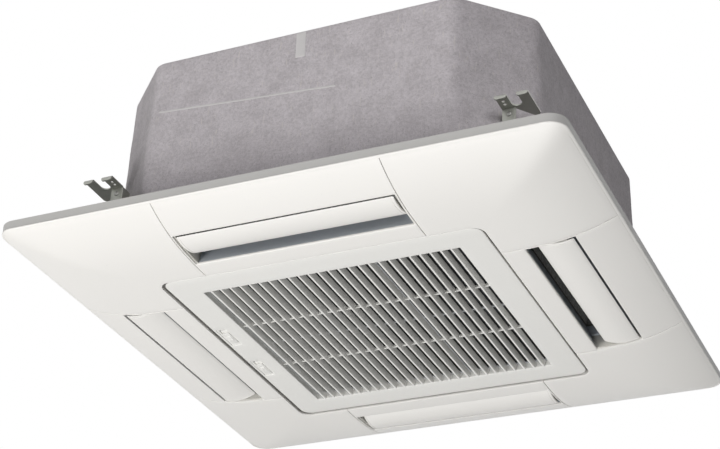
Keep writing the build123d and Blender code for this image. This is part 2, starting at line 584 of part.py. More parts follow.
def drain_pan():
    """Foam tray: a channel under the coil, a well for the pump and the four air outlets."""
    out = FELT + 2 * GLUE + STEEL
    pan = drafted(out, STEEL, PAN_TOP)
    pan -= square_prism(RECESS_HALF, 20, 0, PAN_RECESS)
    pan -= post(BELL_R - 10, PAN_RECESS, PAN_TOP)
    channel = square_prism(CHANNEL_OUT, COIL_CORNER + 3, CHANNEL_Z, PAN_TOP)
    pan -= channel - square_prism(CHANNEL_IN, 24, CHANNEL_Z, PAN_TOP)
    pan -= at_rear_left(post(PUMP_WELL, CHANNEL_Z, PAN_TOP, PUMP_AT))
    for side in SIDES:
        pan -= turned(block(-DUCT_END, DUCT_END, -BODY_DUCT_OUT + 2, -BODY_DUCT_IN, 0, PAN_TOP), side)
    for corner in CORNERS:
        pan -= cornered(post(SCREW_R + 1.5, 0, SCREW_TOP + 4, SCREW_AT, -SCREW_AT), corner)
    return pan


# ---- hanger brackets --------------------------------------------------------------------
def bracket_shanks():
    """Shanks of the two rivets through a bracket's base plate at the front right."""
    shanks = Part()
    for side in RIVET_SIDES:
        shanks += Rot(0, 0, -45) * rod_x(RIVET_R, CHAMFER - 12, CHAMFER - 2.5, side, RIVET_Z)
    return shanks


def slotted_plate():
    """The bracket's flat top: two prongs round the rod's slot, each with a lip turned down."""
    z0 = HANGER_Z - HANGER_SHEET
    corner = (PRONG_OUT, -PRONG_BACK)
    plan = Polygon((PRONG_IN, -PRONG_TIP), (PRONG_OUT, -PRONG_TIP), corner, (LEG_OUT, -LEG_Y),
                   (PRONG_IN, -LEG_Y), align=None)
    plan = fillet(plan.vertices().sort_by_distance(corner)[0], PRONG_CORNER)
    slot_in, slot_out = ROD_X - ROD_SLOT_R, ROD_X + ROD_SLOT_R
    plate = Pos(0, 0, z0) * extrude(plan, HANGER_SHEET)
    plate -= block(slot_in, slot_out, -PRONG_TIP - 1, -ROD_Y, z0, HANGER_Z)
    plate -= post(ROD_SLOT_R, z0, HANGER_Z, ROD_X, -ROD_Y)
    for y in NAIL_Y:
        plate -= post(NAIL_R, z0, HANGER_Z, NAIL_X, -y)
    for x0, x1 in ((PRONG_IN, slot_in), (slot_out, PRONG_OUT)):
        plate += block(x0, x1, -PRONG_TIP, -PRONG_TIP + LIP_SHEET, HANGER_Z - LIP, HANGER_Z)
    return plate


def hanger_bracket():
    """Front right bracket: base on the chamfer, leg, web and slotted plate."""
    face = FELT + GLUE
    reach = (CHAMFER - 1.2) * sqrt(2)
    base = drafted(face - HANGER_SHEET, BASE_LOW, BASE_TOP)
    base &= Rot(0, 0, -45) * block(CHAMFER - 20, CHAMFER + 5, *BASE_SIDES, BASE_LOW, BASE_TOP)
    web_out = PRONG_IN + HANGER_SHEET
    plate = slotted_plate() + block(PRONG_IN, LEG_OUT, -LEG_Y, -LEG_Y + HANGER_SHEET, LEG_LOW, HANGER_Z)
    plate += block(PRONG_IN, web_out, -LEG_Y, PRONG_IN - reach, BASE_TOP, HANGER_Z)
    plate += block(PRONG_IN, web_out, -LEG_Y, PRONG_IN - reach + WEB_DEEP, LEG_LOW, BASE_TOP)
    plate -= rod_y(RIVET_R, -LEG_Y, -LEG_Y + HANGER_SHEET, *LEG_RIVET)
    return base + plate - drafted(face, 0, HANGER_Z) - bracket_shanks()


def bracket_rivets():
    """Three rivets of the front right bracket."""
    face = CHAMFER - FELT - GLUE + HANGER_SHEET - DRAFT * RIVET_Z
    shank = rod_y(RIVET_R, -LEG_Y, -LEG_Y + HANGER_SHEET + 1, *LEG_RIVET)
    rivets = [shank + rod_y(RIVET_HEAD, -LEG_Y - RIVET_DOME, -LEG_Y, *LEG_RIVET)]
    for side in RIVET_SIDES:
        rivet = rod_x(RIVET_R, face - RIVET_LONG, face + 0.2, side, RIVET_Z)
        rivet += rod_x(RIVET_HEAD, face + 0.1, face + RIVET_DOME, side, RIVET_Z)
        rivets.append(Rot(0, 0, -45) * rivet)
    return rivets


# ---- fan, bell mouth and motor ----------------------------------------------------------
def ring_of(points):
    """A turned piece over a section given as (radius, height)."""
    return revolve(Plane.XZ * Polygon(*points, align=None), Axis.Z)


def blade_section():
    """Plan of one backward-curved blade, from the inlet to the fan's edge."""
    half = BLADE_THICK / 2
    front, back = [[(x + shift, y) for x, y in BLADE_LINE] for shift in (-half, half)]
    outline = ThreePointArc(*front) + ThreePointArc(*back) + Line(front[0], back[0]) + Line(front[2], back[2])
    return make_face(outline) & Circle(FAN_R - 1)


def turbo_fan():
    """Plate with a cone round the motor and seven curved blades, and the shroud welded to them."""
    t = FAN_SKIN
    plate = ring_of([(CONE_R, FAN_PLATE_Z), (FAN_R, FAN_PLATE_Z), (FAN_R, FAN_PLATE_Z + t),
                     (CONE_R - 1, FAN_PLATE_Z + t), (HUB_R - 2, HUB_Z + t), (SHAFT_R, HUB_Z + t),
                     (SHAFT_R, HUB_Z), (HUB_R, HUB_Z)])
    boss = post(BOSS_R, HUB_Z - 10, HUB_Z + 7) - post(SHAFT_R, HUB_Z - 10, HUB_Z + 7)
    throat, knee = (SHROUD_IN, SHROUD_Z0), (SHROUD_IN + 8, SHROUD_Z0 + 12)
    shroud = ring_of([throat, (SHROUD_IN + t, SHROUD_Z0), knee, (FAN_R, SHROUD_Z1 - t), (FAN_R, SHROUD_Z1),
                      (SHROUD_IN + 6, SHROUD_Z0 + 14), (SHROUD_IN, SHROUD_Z0 + 6)])
    under = ring_of([(0, 0), (FAN_R + 9, 0), (FAN_R + 9, SHROUD_Z1 - 1), (FAN_R, SHROUD_Z1 - 1),
                     (SHROUD_IN + 7, SHROUD_Z0 + 13), (SHROUD_IN + 1, SHROUD_Z0 + 5), (0, SHROUD_Z0 + 5)])
    blade = Pos(0, 0, SHROUD_Z0) * extrude(blade_section(), FAN_PLATE_Z + 1 - SHROUD_Z0) - under
    wheel = plate + boss
    for i in range(FAN_BLADES):
        wheel += Rot(0, 0, 360 / FAN_BLADES * i) * blade
    return [wheel - shroud, shroud]


def bell_mouth():
    """Flared inlet that guides the air from the filter into the fan."""
    start, lip, t = BELL_R - BELL_RIM, THROAT_Z + BELL_LIP, BELL_WALL
    flare = Spline((start, BELL_Z), (THROAT_R, THROAT_Z), tangents=[(-1, 0), (0, 1)])
    inner = Spline((start, BELL_Z + t), (THROAT_R + t, THROAT_Z), tangents=[(-1, 0), (0, 1)])
    outline = flare + inner + Polyline(flare @ 0, (BELL_R, BELL_Z), (BELL_R, BELL_Z + t), inner @ 0)
    outline += Polyline(inner @ 1, (THROAT_R + t, lip), (THROAT_R, lip), flare @ 1)
    return revolve(Plane.XZ * make_face(outline), Axis.Z)


def fan_motor():
    """Round motor with a nose bearing and three feet at the top."""
    nose = MOTOR_Z0 - 4
    motor = fillet(post(MOTOR_BODY_R, MOTOR_Z0, MOTOR_Z1).edges().group_by(Axis.Z)[0], 6)
    motor += post(BOSS_R - 2, nose, MOTOR_Z0 + 1)
    foot = block(FOOT_IN, FOOT_OUT, -FOOT_HALF, FOOT_HALF, MOTOR_Z1 - FOOT_THICK, MOTOR_Z1)
    for turn in range(3):
        motor += Rot(0, 0, 120 * turn) * foot
    return motor - post(SHAFT_R + PIN_FIT, nose, MOTOR_Z1 - 12)


def motor_mounts():
    """Rubber buffers between the motor's feet and the top plate."""
    groove = Pos(BUFFER_AT, 0, (MOTOR_Z1 + PLATE_Z) / 2) * Torus(BUFFER_R + 0.5, BUFFER_GROOVE)
    buffer = post(BUFFER_R, MOTOR_Z1, PLATE_Z, BUFFER_AT) - groove
    return [Rot(0, 0, 120 * turn) * buffer for turn in range(3)]


def fan_nut():
    """Hexagon nut under the fan's hub."""
    nut = Pos(0, 0, FAN_NUT_Z) * extrude(RegularPolygon(FAN_NUT_R, 6), FAN_NUT_TALL)
    return nut - post(SHAFT_R, FAN_NUT_Z, FAN_NUT_Z + FAN_NUT_TALL)


# ---- heat exchanger ---------------------------------------------------------------------
def coil_fins():
    """Square ring of fins, open at the rear left corner."""
    ring = square_prism(COIL_OUT, COIL_CORNER, COIL_Z0, COIL_Z1)
    ring -= square_prism(COIL_IN, COIL_CORNER - COIL_OUT + COIL_IN, COIL_Z0, COIL_Z1)
    return ring - block(-COIL_OUT, -COIL_CUT, COIL_CUT, COIL_OUT, COIL_Z0, COIL_Z1)


def end_plates():
    """Steel plates on the two open ends of the coil."""
    rear = block(-COIL_CUT - END_PLATE, -COIL_CUT, COIL_IN - 1, COIL_OUT + 1, COIL_Z0, COIL_Z1)
    left = block(-COIL_OUT - 1, -COIL_IN + 1, COIL_CUT, COIL_CUT + END_PLATE, COIL_Z0, COIL_Z1)
    return [rear, left]


def return_bends():
    """Copper U-bends on both end plates."""
    arc = CenterArc((0, 0), BEND_R, 90, 180)
    bend = sweep(Plane(origin=(0, BEND_R, 0), z_dir=(-1, 0, 0)) * Circle(TUBE_R), path=arc)
    bend = Rot(90, 0, 0) * bend
    middle = (COIL_IN + COIL_OUT) / 2
    rows = []
    for row in range(BEND_ROWS):
        z = COIL_Z0 + BEND_START + row * BEND_STEP
        rows.append(Pos(-COIL_CUT - END_PLATE, middle, z) * bend)
        rows.append(Pos(-middle, COIL_CUT + END_PLATE, z) * Rot(0, 0, -90) * bend)
    return rows


# ---- pipes, drain and electrics ---------------------------------------------------------
def stub_pipe(radius, side, header_r):
    """A header beside the coil's end with a stub out through the chamfer."""
    stub = rod_x(radius, HEADER_AT, PIPE_END, 0, 0)
    header = post(header_r, COIL_Z0 + 20 - PIPE_Z, COIL_Z1 - 20 - PIPE_Z, HEADER_AT, 0)
    return at_rear_left(stub + header, PIPE_Z, side)


def flare_nut(across, radius, thread, side):
    """Hexagon nut on the end of a pipe stub, open for the joint's union."""
    start, end = PIPE_END - NUT_BACK, PIPE_END + NUT_OPEN
    nut = hexagon_x(across, start, end) - rod_x(radius, start, PIPE_END, 0, 0)
    return at_rear_left(nut - rod_x(thread, PIPE_END, end, 0, 0), PIPE_Z, side)


def pipe_cover():
    """Steel plate over the felt's cut-out, with holes for the pipes and the drain."""
    low, high = PIPE_Z - COVER_TALL, DRAIN_Z + COVER_TALL
    plate = drafted(FELT + GLUE - STEEL, low, high) - drafted(FELT + GLUE, low, high)
    plate &= at_rear_left(block(CHAMFER - 20, CHAMFER + 5, -COVER_HALF, COVER_HALF, low, high))
    return plate - service_holes()


def drain_pump():
    """Pump that stands on three legs in the pan's well."""
    neck, body, flange, outlet, end = PUMP_Z
    pump = post(PUMP_NECK_R, neck, body) + post(PUMP_R, body, flange) + post(PUMP_FLANGE_R, flange, outlet)
    pump += post(PUMP_OUT_R, outlet, end) - post(HOSE_BORE, end - 10, end)
    for turn in range(3):
        pump += Rot(0, 0, 120 * turn + 60) * post(2, CHANNEL_Z, body + 1, PUMP_R - 3)
    return Rot(0, 0, 135) * Pos(PUMP_AT, 0, 0) * pump


def float_switch():
    """Float on a stem, held out from the pump over the drain channel."""
    low, high, arm = FLOAT_Z
    switch = post(3, low + 2, arm, FLOAT_AT) + post(FLOAT_R, low, high, FLOAT_AT)
    switch += block(FLOAT_AT - 8, PUMP_AT, -5, 5, arm, arm + 3)
    return Rot(0, 0, 135) * (switch - post(PUMP_R, low, arm + 3, PUMP_AT))


def drain_hose():
    """Riser from the pump that curves out into the drain socket."""
    start = PUMP_Z[-1]
    path = Spline((PUMP_AT, 0, start), (CHAMFER - SOCKET_DEEP, DRAIN_SIDE, DRAIN_Z),
                  tangents=[(0, 0, 1), (1, 0, 0)])
    hose = sweep(Pos(PUMP_AT, 0, start) * (Circle(HOSE_R) - Circle(HOSE_BORE)), path=path)
    return Rot(0, 0, 135) * hose


def drain_socket():
    """Rigid socket through the chamfer that takes the drain pipe."""
    start = CHAMFER - SOCKET_DEEP
    socket = rod_x(DRAIN_R, start, DRAIN_END, 0, 0) + rod_x(DRAIN_R + SOCKET_RIM, CHAMFER - 3, CHAMFER, 0, 0)
    return at_rear_left(socket - rod_x(DRAIN_BORE, start, DRAIN_END, 0, 0), DRAIN_Z, DRAIN_SIDE)


def control_box():
    """Steel tray over the rear of the bell mouth, open at the bottom."""
    tray = block(-BOX_X, BOX_X, BOX_Y0, BOX_Y1, BOX_Z0, BOX_Z1)
    inside, low, high = BOX_X - STEEL, BOX_Y0 + STEEL, BOX_Y1 - STEEL
    return tray - block(-inside, inside, low, high, BOX_Z0, BOX_Z1 - STEEL)


def control_lid():
    """Lid of the control box with two screw heads."""
    lid = block(-BOX_X - 1, BOX_X + 1, BOX_Y0 - 1, BOX_Y1 + 1, BOX_Z0 - STEEL, BOX_Z0)
    for x in (12 - BOX_X, BOX_X - 12):
        lid += post(3.5, BOX_Z0 - STEEL - 1.6, BOX_Z0, x, BOX_Y0 + 10)
    return lid


def control_board():
    """Circuit board on spacers, with a few tall components."""
    left, right, margin, drop, thick = BOARD
    roof = BOX_Z1 - STEEL
    low = roof - drop
    board = block(left, right, BOX_Y0 + margin, BOX_Y1 - margin, low, low + thick)
    for x, y, size, tall in CHIPS:
        board += block(x, x + size, y, y + size * 0.7, low - tall, low + 0.2)
    for x, y in SPACER_AT:
        board += post(2.5, low + 1, roof, x, y)
    return board


def terminal_block():
    """Terminal strip with a screw well for each wire."""
    left, right, front, rear = TERMINALS
    roof = BOX_Z1 - STEEL
    low = roof - TERMINAL_TALL
    body = block(left, right, front, rear, low, roof)
    for i in range(int((rear - front) / TERMINAL_PITCH)):
        y = front + (i + 0.5) * TERMINAL_PITCH
        body -= post(2.6, low, low + 7, (left + right) / 2, y)
    return body


def cable_gland():
    """Gland through the rear wall, with a hexagon body and a round cap."""
    wall = BODY_HALF - FELT - STEEL
    start, end = wall - GLAND_IN, wall + GLAND_OUT
    gland = rod_y(GLAND_R - 1, start, end, 0, 0)
    gland += Pos(0, wall + 4, 0) * Rot(-90, 0, 0) * extrude(RegularPolygon(GLAND_R + 4, 6), 6)
    gland += rod_y(GLAND_R + 2, wall + 10, wall + 20, 0, 0)
    gland -= rod_y(GLAND_BORE, start, end, 0, 0)
    return Pos(GLAND_X, 0, GLAND_Z) * gland


# ---- the whole unit ---------------------------------------------------------------------
def everywhere(piece):
    """Copies of a front right corner piece at all four corners."""
    return [cornered(piece, corner) for corner in CORNERS]


def make_nodes():
    outer, hollow = pillow(0, 0), pillow(RIM_WALL, SKIN)
    nodes = {"panel_frame": panel_frame(outer, hollow), "panel_seal": panel_seal()}
    cover, duct, flap = corner_cover(outer, hollow), outlet_duct(hollow), louvre()
    for corner in CORNERS:
        nodes["corner_cover_" + corner] = cornered(cover, corner)
        nodes["hanger_bracket_" + corner] = cornered(hanger_bracket(), corner)
    for side in SIDES:
        nodes["outlet_duct_" + side] = turned(duct, side)
        nodes["louvre_" + side] = turned(flap, side)
        nodes["louvre_motor_" + side] = turned(louvre_motor(), side)
    nodes["louvre_bushes"] = [turned(louvre_bush(), side) for side in SIDES]
    nodes["panel_screws"] = everywhere(panel_screw())
    nodes["bracket_rivets"] = [copy for rivet in bracket_rivets() for copy in everywhere(rivet)]
    nodes["intake_grille"] = intake_grille()
    nodes["hinge_pins"] = hinge_pins()
    nodes["grille_latch_front"] = grille_latch(LATCH_Y[0])
    nodes["grille_latch_rear"] = grille_latch(LATCH_Y[1])
    nodes["filter_frame"] = filter_frame()
    nodes["filter_mesh"] = mesh_sheet(WELL_TOP + FILTER_THICK / 2)
    nodes["outer_insulation"] = outer_insulation()
    nodes["cabinet"] = cabinet()
    nodes["top_plate"] = top_plate()
    nodes["top_screws"] = top_screws()
    nodes["side_liner"] = side_liner()
    nodes["drain_pan"] = drain_pan()
    nodes["bell_mouth"] = bell_mouth()
    nodes["turbo_fan"] = turbo_fan()
    nodes["fan_shaft"] = post(SHAFT_R, FAN_NUT_Z - 6, MOTOR_Z1 - 14)
    nodes["fan_nut"] = fan_nut()
    nodes["fan_motor"] = fan_motor()
    nodes["motor_mounts"] = motor_mounts()
    nodes["coil_fins"] = coil_fins()
    nodes["coil_end_plates"] = end_plates()
    nodes["coil_return_bends"] = return_bends()
    nodes["gas_pipe"] = stub_pipe(GAS_R, PIPE_SIDE, GAS_R)
    nodes["liquid_pipe"] = stub_pipe(LIQUID_R, -PIPE_SIDE, LIQUID_R + 1)
    nodes["gas_flare_nut"] = flare_nut(GAS_NUT, GAS_R, GAS_THREAD, PIPE_SIDE)
    nodes["liquid_flare_nut"] = flare_nut(LIQUID_NUT, LIQUID_R, LIQUID_THREAD, -PIPE_SIDE)
    nodes["pipe_cover"] = pipe_cover()
    nodes["drain_pump"] = drain_pump()
    nodes["float_switch"] = float_switch()
    nodes["drain_hose"] = drain_hose()
    nodes["drain_socket"] = drain_socket()
    nodes["control_box"] = control_box()
    nodes["control_lid"] = control_lid()
    nodes["control_board"] = control_board()
    nodes["terminal_block"] = terminal_block()
    nodes["cable_gland"] = cable_gland()
    return nodes


def write_nodes():
    os.makedirs("parts", exist_ok=True)
    for name, shape in make_nodes().items():
        if isinstance(shape, list):
            shape = Compound(children=shape)
        shape.label = name
        export_step(shape, f"parts/{name}.step")
        print(f"{name:28s} {len(shape.solids())} solids")


write_nodes()
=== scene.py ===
# %% [markdown]
# # A ceiling air conditioner, dressed in Blender
# The unit hangs in a ceiling. Below the ceiling plane is a white moulded panel with four air slots
# and a hinged intake grille. Above it stands an eight-sided steel body wrapped in grey felt.
# The solids come from CAD as a fixed frame in metres. Here every visible surface gets its true
# curves, edges and finish, and the frame says where each piece belongs.

# %% Load the solids
import bmesh, bpy
import numpy as np
from math import acos, atan2, ceil, cos, hypot, pi, radians, sin, sqrt, tan
from mathutils import Matrix, Vector, noise
from mathutils.geometry import delaunay_2d_cdt


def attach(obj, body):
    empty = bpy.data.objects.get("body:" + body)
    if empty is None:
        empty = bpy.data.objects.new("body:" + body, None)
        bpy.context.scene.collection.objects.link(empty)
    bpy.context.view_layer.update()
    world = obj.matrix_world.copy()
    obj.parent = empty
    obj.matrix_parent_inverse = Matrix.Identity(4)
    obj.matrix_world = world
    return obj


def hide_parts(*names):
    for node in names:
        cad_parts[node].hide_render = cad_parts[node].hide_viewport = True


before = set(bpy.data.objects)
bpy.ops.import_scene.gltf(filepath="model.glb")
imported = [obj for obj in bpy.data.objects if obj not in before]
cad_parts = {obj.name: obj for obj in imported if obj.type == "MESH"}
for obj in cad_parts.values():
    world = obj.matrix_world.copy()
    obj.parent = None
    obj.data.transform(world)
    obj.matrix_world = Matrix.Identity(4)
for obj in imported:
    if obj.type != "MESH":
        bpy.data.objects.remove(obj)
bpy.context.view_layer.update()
scene = bpy.context.scene
scene.view_settings.view_transform = "Standard"
MM = 0.001
print(len(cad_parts), "solids loaded")

# %% [markdown]
# ## Camera
# The photograph looks up at the unit from below its front right corner, with a long lens.
# The three directions below are the camera's own right, up and back, solved from the panel's corners.

# %% Camera
lens = bpy.data.cameras.new("camera")
lens.sensor_fit, lens.sensor_width, lens.lens = "HORIZONTAL", 36.0, 89.42
camera = bpy.data.objects.new("camera", lens)
right, up, back = (0.91573, 0.40016, 0.03621), (0.16978, -0.46705, 0.86778), (0.36416, -0.78850, -0.49563)
turn = Matrix((right, up, back)).transposed().to_4x4()
camera.matrix_world = Matrix.Translation((0.8135, -1.8436, -1.0330)) @ turn
scene.collection.objects.link(camera)
scene.camera = camera
print("camera at", tuple(round(c, 3) for c in camera.matrix_world.translation))

# %% [markdown]
# ## Light and background
# A studio lights such a unit with large soft lamps: two below, one of them to the left, for the
# panel's face, one from the front right for the felt, and a weak one behind and above for the top.
# The background is white only to rays that see it straight or as a reflection, so it adds no glare.

# %% Lamps and world
MIDDLE = Vector((0, 0, 0.05))


def lamp(name, at, size, power, colour=(1, 1, 1)):
    """A round soft lamp that faces the unit."""
    light = bpy.data.lights.new(name, "AREA")
    light.shape, light.size, light.energy, light.color = "DISK", size, power, colour
    holder = bpy.data.objects.new(name, light)
    aim = (MIDDLE - Vector(at)).to_track_quat("-Z", "Y")
    holder.matrix_world = Matrix.Translation(at) @ aim.to_matrix().to_4x4()
    holder.visible_camera = False
    scene.collection.objects.link(holder)


lamp("below", (0.2, -0.4, -2.3), 1.6, 31)
lamp("below_left", (-1.3, -1.7, -1.7), 1.6, 38, (1.0, 0.995, 0.985))
lamp("front_right", (1.6, -2.6, 0.3), 1.6, 26, (1.0, 0.99, 1.0))
lamp("rear_above", (-0.4, 2.4, 2.0), 1.6, 22)


def add_node(tree, kind, sockets=(), **settings):
    """Add a node and give its outputs. An input is linked to a socket, or else set to a value."""
    made = tree.nodes.new(kind)
    for name, value in settings.items():
        setattr(made, name, value)
    for name, value in dict(sockets).items():
        if isinstance(value, bpy.types.NodeSocket):
            tree.links.new(value, made.inputs[name])
        else:
            made.inputs[name].default_value = value
    return made.outputs


DIM_WALLS = 0.04
world = bpy.data.worlds.new("studio")
world.use_nodes = True
scene.world = world
sky = world.node_tree
sky.nodes.clear()
rays = add_node(sky, "ShaderNodeLightPath")
seen = rays["Is Camera Ray"]
for kind in ("Is Glossy Ray", "Is Transmission Ray"):
    seen = add_node(sky, "ShaderNodeMath", {0: seen, 1: rays[kind]}, operation="MAXIMUM")[0]
dim, white = (add_node(sky, "ShaderNodeBackground", {0: (1, 1, 1, 1), 1: strength})[0]
              for strength in (DIM_WALLS, 1.0))
background = add_node(sky, "ShaderNodeMixShader", {0: seen, 1: dim, 2: white})[0]
add_node(sky, "ShaderNodeOutputWorld", {0: background})

# %% [markdown]
# ## Finishes
# A finish is a node material. To keep its maths readable, a socket is wrapped in a small class, and
# Python's operators on it add the Math nodes. Every other node comes from one method.
# Patterns use object coordinates in metres, so a size given here is the pattern's real size.

# %% Sockets as numbers
def srgb(red, green, blue):
    """A colour as seen on a screen, 0 to 255, in the linear values that a shader takes."""
    parts = [c / 255 for c in (red, green, blue)]
    return tuple(p / 12.92 if p < 0.04045 else ((p + 0.055) / 1.055) ** 2.4 for p in parts) + (1.0,)


class Value:
    """A socket used like a number."""

    def __init__(self, finish, socket):
        self.finish, self.socket = finish, socket

    def maths(self, kind, *values):
        return self.finish.node("Math", dict(enumerate(values)), operation=kind)

    def __add__(self, other): return self.maths("ADD", self, other)
    def __radd__(self, other): return self.maths("ADD", other, self)
    def __sub__(self, other): return self.maths("SUBTRACT", self, other)
    def __rsub__(self, other): return self.maths("SUBTRACT", other, self)
    def __mul__(self, other): return self.maths("MULTIPLY", self, other)
    def __rmul__(self, other): return self.maths("MULTIPLY", other, self)
    def __truediv__(self, other): return self.maths("DIVIDE", self, other)
    def __abs__(self): return self.maths("ABSOLUTE", self)

    def between(self, low, high):
        """0 below low, 1 above high, and smooth between them."""
        return self.finish.node("MapRange", {0: self, 1: low, 2: high}, interpolation_type="SMOOTHSTEP")


# %% [markdown]
# The class below holds one material while its nodes are added, with a method for each pattern.

# %% A finish in the making
class Finish:
    """A material in the making."""

    def __init__(self, name):
        self.material = bpy.data.materials.new(name)
        self.material.use_nodes = True
        self.tree = self.material.node_tree
        self.tree.nodes.clear()
        self.place = self.node("TexCoord", take="Object")

    def node(self, kind, sockets=(), take=0, **settings):
        sockets = {name: getattr(value, "socket", value) for name, value in dict(sockets).items()}
        made = add_node(self.tree, "ShaderNode" + kind, sockets, **settings)
        return Value(self, made[take]) if len(made) else None

    def mapped(self, stretch, shift=0.0):
        return self.node("Mapping", {"Vector": self.place, "Location": (shift,) * 3, "Scale": stretch})

    def noise(self, size, detail=2.0, stretch=(1, 1, 1), shift=0.0, rough=0.5):
        """Soft noise from 0 to 1, in blotches of about this size in metres."""
        sockets = {"Vector": self.mapped(stretch, shift), "Scale": 1 / size}
        return self.node("TexNoise", {**sockets, "Detail": detail, "Roughness": rough})

    def cells(self, size, take=0, stretch=(1, 1, 1), feature="F1"):
        sockets = {"Vector": self.mapped(stretch), "Scale": 1 / size}
        return self.node("TexVoronoi", sockets, take, feature=feature)

    def axis(self, number):
        return self.node("SeparateXYZ", {0: self.place}, number)

    def zigzag(self, along, half):
        """A wave from 0 to 1 and back, each way over this length."""
        return self.node("Math", {0: along, 1: half}, operation="PINGPONG") / half

    def mix(self, share, first, second):
        return self.node("Mix", {0: share, 6: first, 7: second}, 2, data_type="RGBA")

    def bump(self, height, depth):
        return self.node("Bump", {"Height": height, "Distance": depth})

    def done(self, colour, rough, normal=None, **constants):
        """Close the material with one surface shader. Constants go straight on its sockets."""
        sockets = {"Base Color": colour, "Roughness": rough}
        if normal is not None:
            sockets["Normal"] = normal
        sockets.update({name.replace("_", " "): value for name, value in constants.items()})
        self.node("OutputMaterial", {0: self.node("BsdfPrincipled", sockets)})
        return self.material


# %% [markdown]
# ## Plastics
# Moulded plastic is never one flat colour: its tone drifts over a hand's width, its spark-eroded
# grain is about half a millimetre, and that grain makes the gloss satin. Three noises give that.

# %% Moulded plastics
def shades(colour, spread):
    """A darker and a lighter neighbour of a colour."""
    return [tuple(min(c * k, 1.0) for c in colour[:3]) + (1.0,) for k in (1 - spread, 1 + spread)]


def moulded(name, colour, rough, spread, grain, speck, patch=None):
    """Plastic with drifting tone, moulded grain, a few specks of dust, and a patch of another colour or of
    painted shade.
    """
    finish = Finish(name)
    drift = finish.noise(0.11, 3.0)
    fine = finish.noise(0.0006, 1.0, shift=3.0)
    tone = finish.mix(0.75 * drift + 0.25 * fine, *shades(colour, spread))
    dust = finish.noise(0.0016, 2.0, shift=7.0).between(0.66, 0.80)
    tone = finish.mix(speck * dust, tone, shades(colour, 0.35)[0])
    if patch:
        where, other = patch
        tone = finish.mix(where(finish), tone, other)
    gloss = rough - 0.05 + 0.10 * finish.noise(0.05, 2.0, shift=5.0)
    return finish.done(tone, gloss, finish.bump(fine, grain * MM))


def rim_painted_shade(finish):
    """Painted shade on the upright side of the panel's rim: a greyer tone above about 10.5 mm below its top.
    """
    return finish.axis(2).between(-0.0108, -0.0102)


def on_slot_end(finish):
    """The end walls of an air slot. They belong to the panel's white mould."""
    x, y = abs(finish.axis(0)), abs(finish.axis(1))
    return x.maths("MINIMUM", x, y).between(0.1370, 0.1373)


# The panel's patch is painted shade: a greyer tone on the upright side of the rim.
PANEL = moulded("panel_white", srgb(240, 238, 234), 0.44, 0.012, 0.008, 0.25, (rim_painted_shade, srgb(212, 211, 208)))
GRILLE = moulded("grille_white", srgb(236, 235, 231), 0.42, 0.012, 0.008, 0.25)
LOUVRE = moulded("louvre_white", srgb(239, 237, 233), 0.5, 0.010, 0.004, 0.15)
DUCT = moulded("duct_grey", srgb(198, 204, 211), 0.6, 0.06, 0.02, 0.5, (on_slot_end, srgb(206, 204, 197)))
BLACK = moulded("black_plastic", srgb(42, 42, 44), 0.45, 0.10, 0.01, 0.3)
GREY = moulded("grey_plastic", srgb(168, 170, 172), 0.45, 0.04, 0.01, 0.3)
RUBBER = moulded("rubber_black", srgb(38, 38, 38), 0.75, 0.15, 0.04, 0.4)
SEAL = moulded("seal_foam", srgb(150, 150, 147), 0.9, 0.15, 0.25, 0.4)

# %% [markdown]
# ## Felt
# The body is wrapped in pressed fibre felt. Close up it is a heather of grey, warm and dark fibres
# with stray pale hairs that run mostly up and down. Two noises give the mottle, a stretched one the
# hairs, and sheen gives the soft edge glow that fibres have.

# %% Felt and tape
def make_felt():
    finish = Finish("felt_grey")
    cloud = finish.noise(0.03, 4.0, rough=0.6)
    mottle = finish.noise(0.0042, 3.0, shift=2.0, rough=0.7)
    grit = finish.noise(0.0011, 2.0, shift=4.0, rough=0.8)
    share = (0.25 * cloud + 0.35 * mottle + 0.40 * grit).between(0.34, 0.66)
    tone = finish.mix(share, srgb(203, 197, 200), srgb(245, 239, 243))
    hairs = finish.noise(0.0022, 2.0, (1.0, 1.0, 0.13), 6.0).between(0.63, 0.72)
    tone = finish.mix(0.5 * hairs, tone, srgb(246, 240, 236))
    dark = finish.noise(0.0019, 1.0, shift=9.0).between(0.66, 0.76)
    tone = finish.mix(0.30 * dark, tone, srgb(96, 90, 90))
    height = 0.5 * mottle + 0.5 * grit
    return finish.done(tone, 0.95, finish.bump(height, 0.7 * MM), Sheen_Weight=0.15, Sheen_Roughness=0.5)


def make_tape():
    finish = Finish("tape_pale")
    crinkle = finish.noise(0.012, 3.0, (1.0, 1.0, 0.4))
    tone = finish.mix(crinkle, srgb(234, 231, 231), srgb(248, 246, 245))
    return finish.done(tone, 0.35 + 0.2 * crinkle, finish.bump(crinkle, 0.3 * MM))


FELT, TAPE = make_felt(), make_tape()

# %% [markdown]
# ## Metals
# Zinc on steel sheet freezes in spangles, flat crystals of slightly different grey and gloss.
# Cells make them, each with its own random tone, and a fine noise adds the dull bloom of age.

# %% Metals
def sheet_metal(name, colour, rough, spangle=0.008, spread=0.12, metallic=0.9):
    finish = Finish(name)
    crystal = finish.node("SeparateColor", {0: finish.cells(spangle, 1)})
    bloom = finish.noise(0.02, 4.0, shift=1.0)
    tone = finish.mix(0.6 * crystal + 0.4 * bloom, *shades(colour, spread))
    scratch = finish.noise(0.0012, 2.0, (1.0, 0.05, 1.0), 3.0).between(0.62, 0.75)
    tone = finish.mix(0.15 * scratch, tone, shades(colour, 0.3)[1])
    gloss = rough - 0.08 + 0.10 * crystal + 0.08 * bloom
    return finish.done(tone, gloss, finish.bump(0.7 * bloom + 0.3 * scratch, 0.05 * MM), Metallic=metallic)


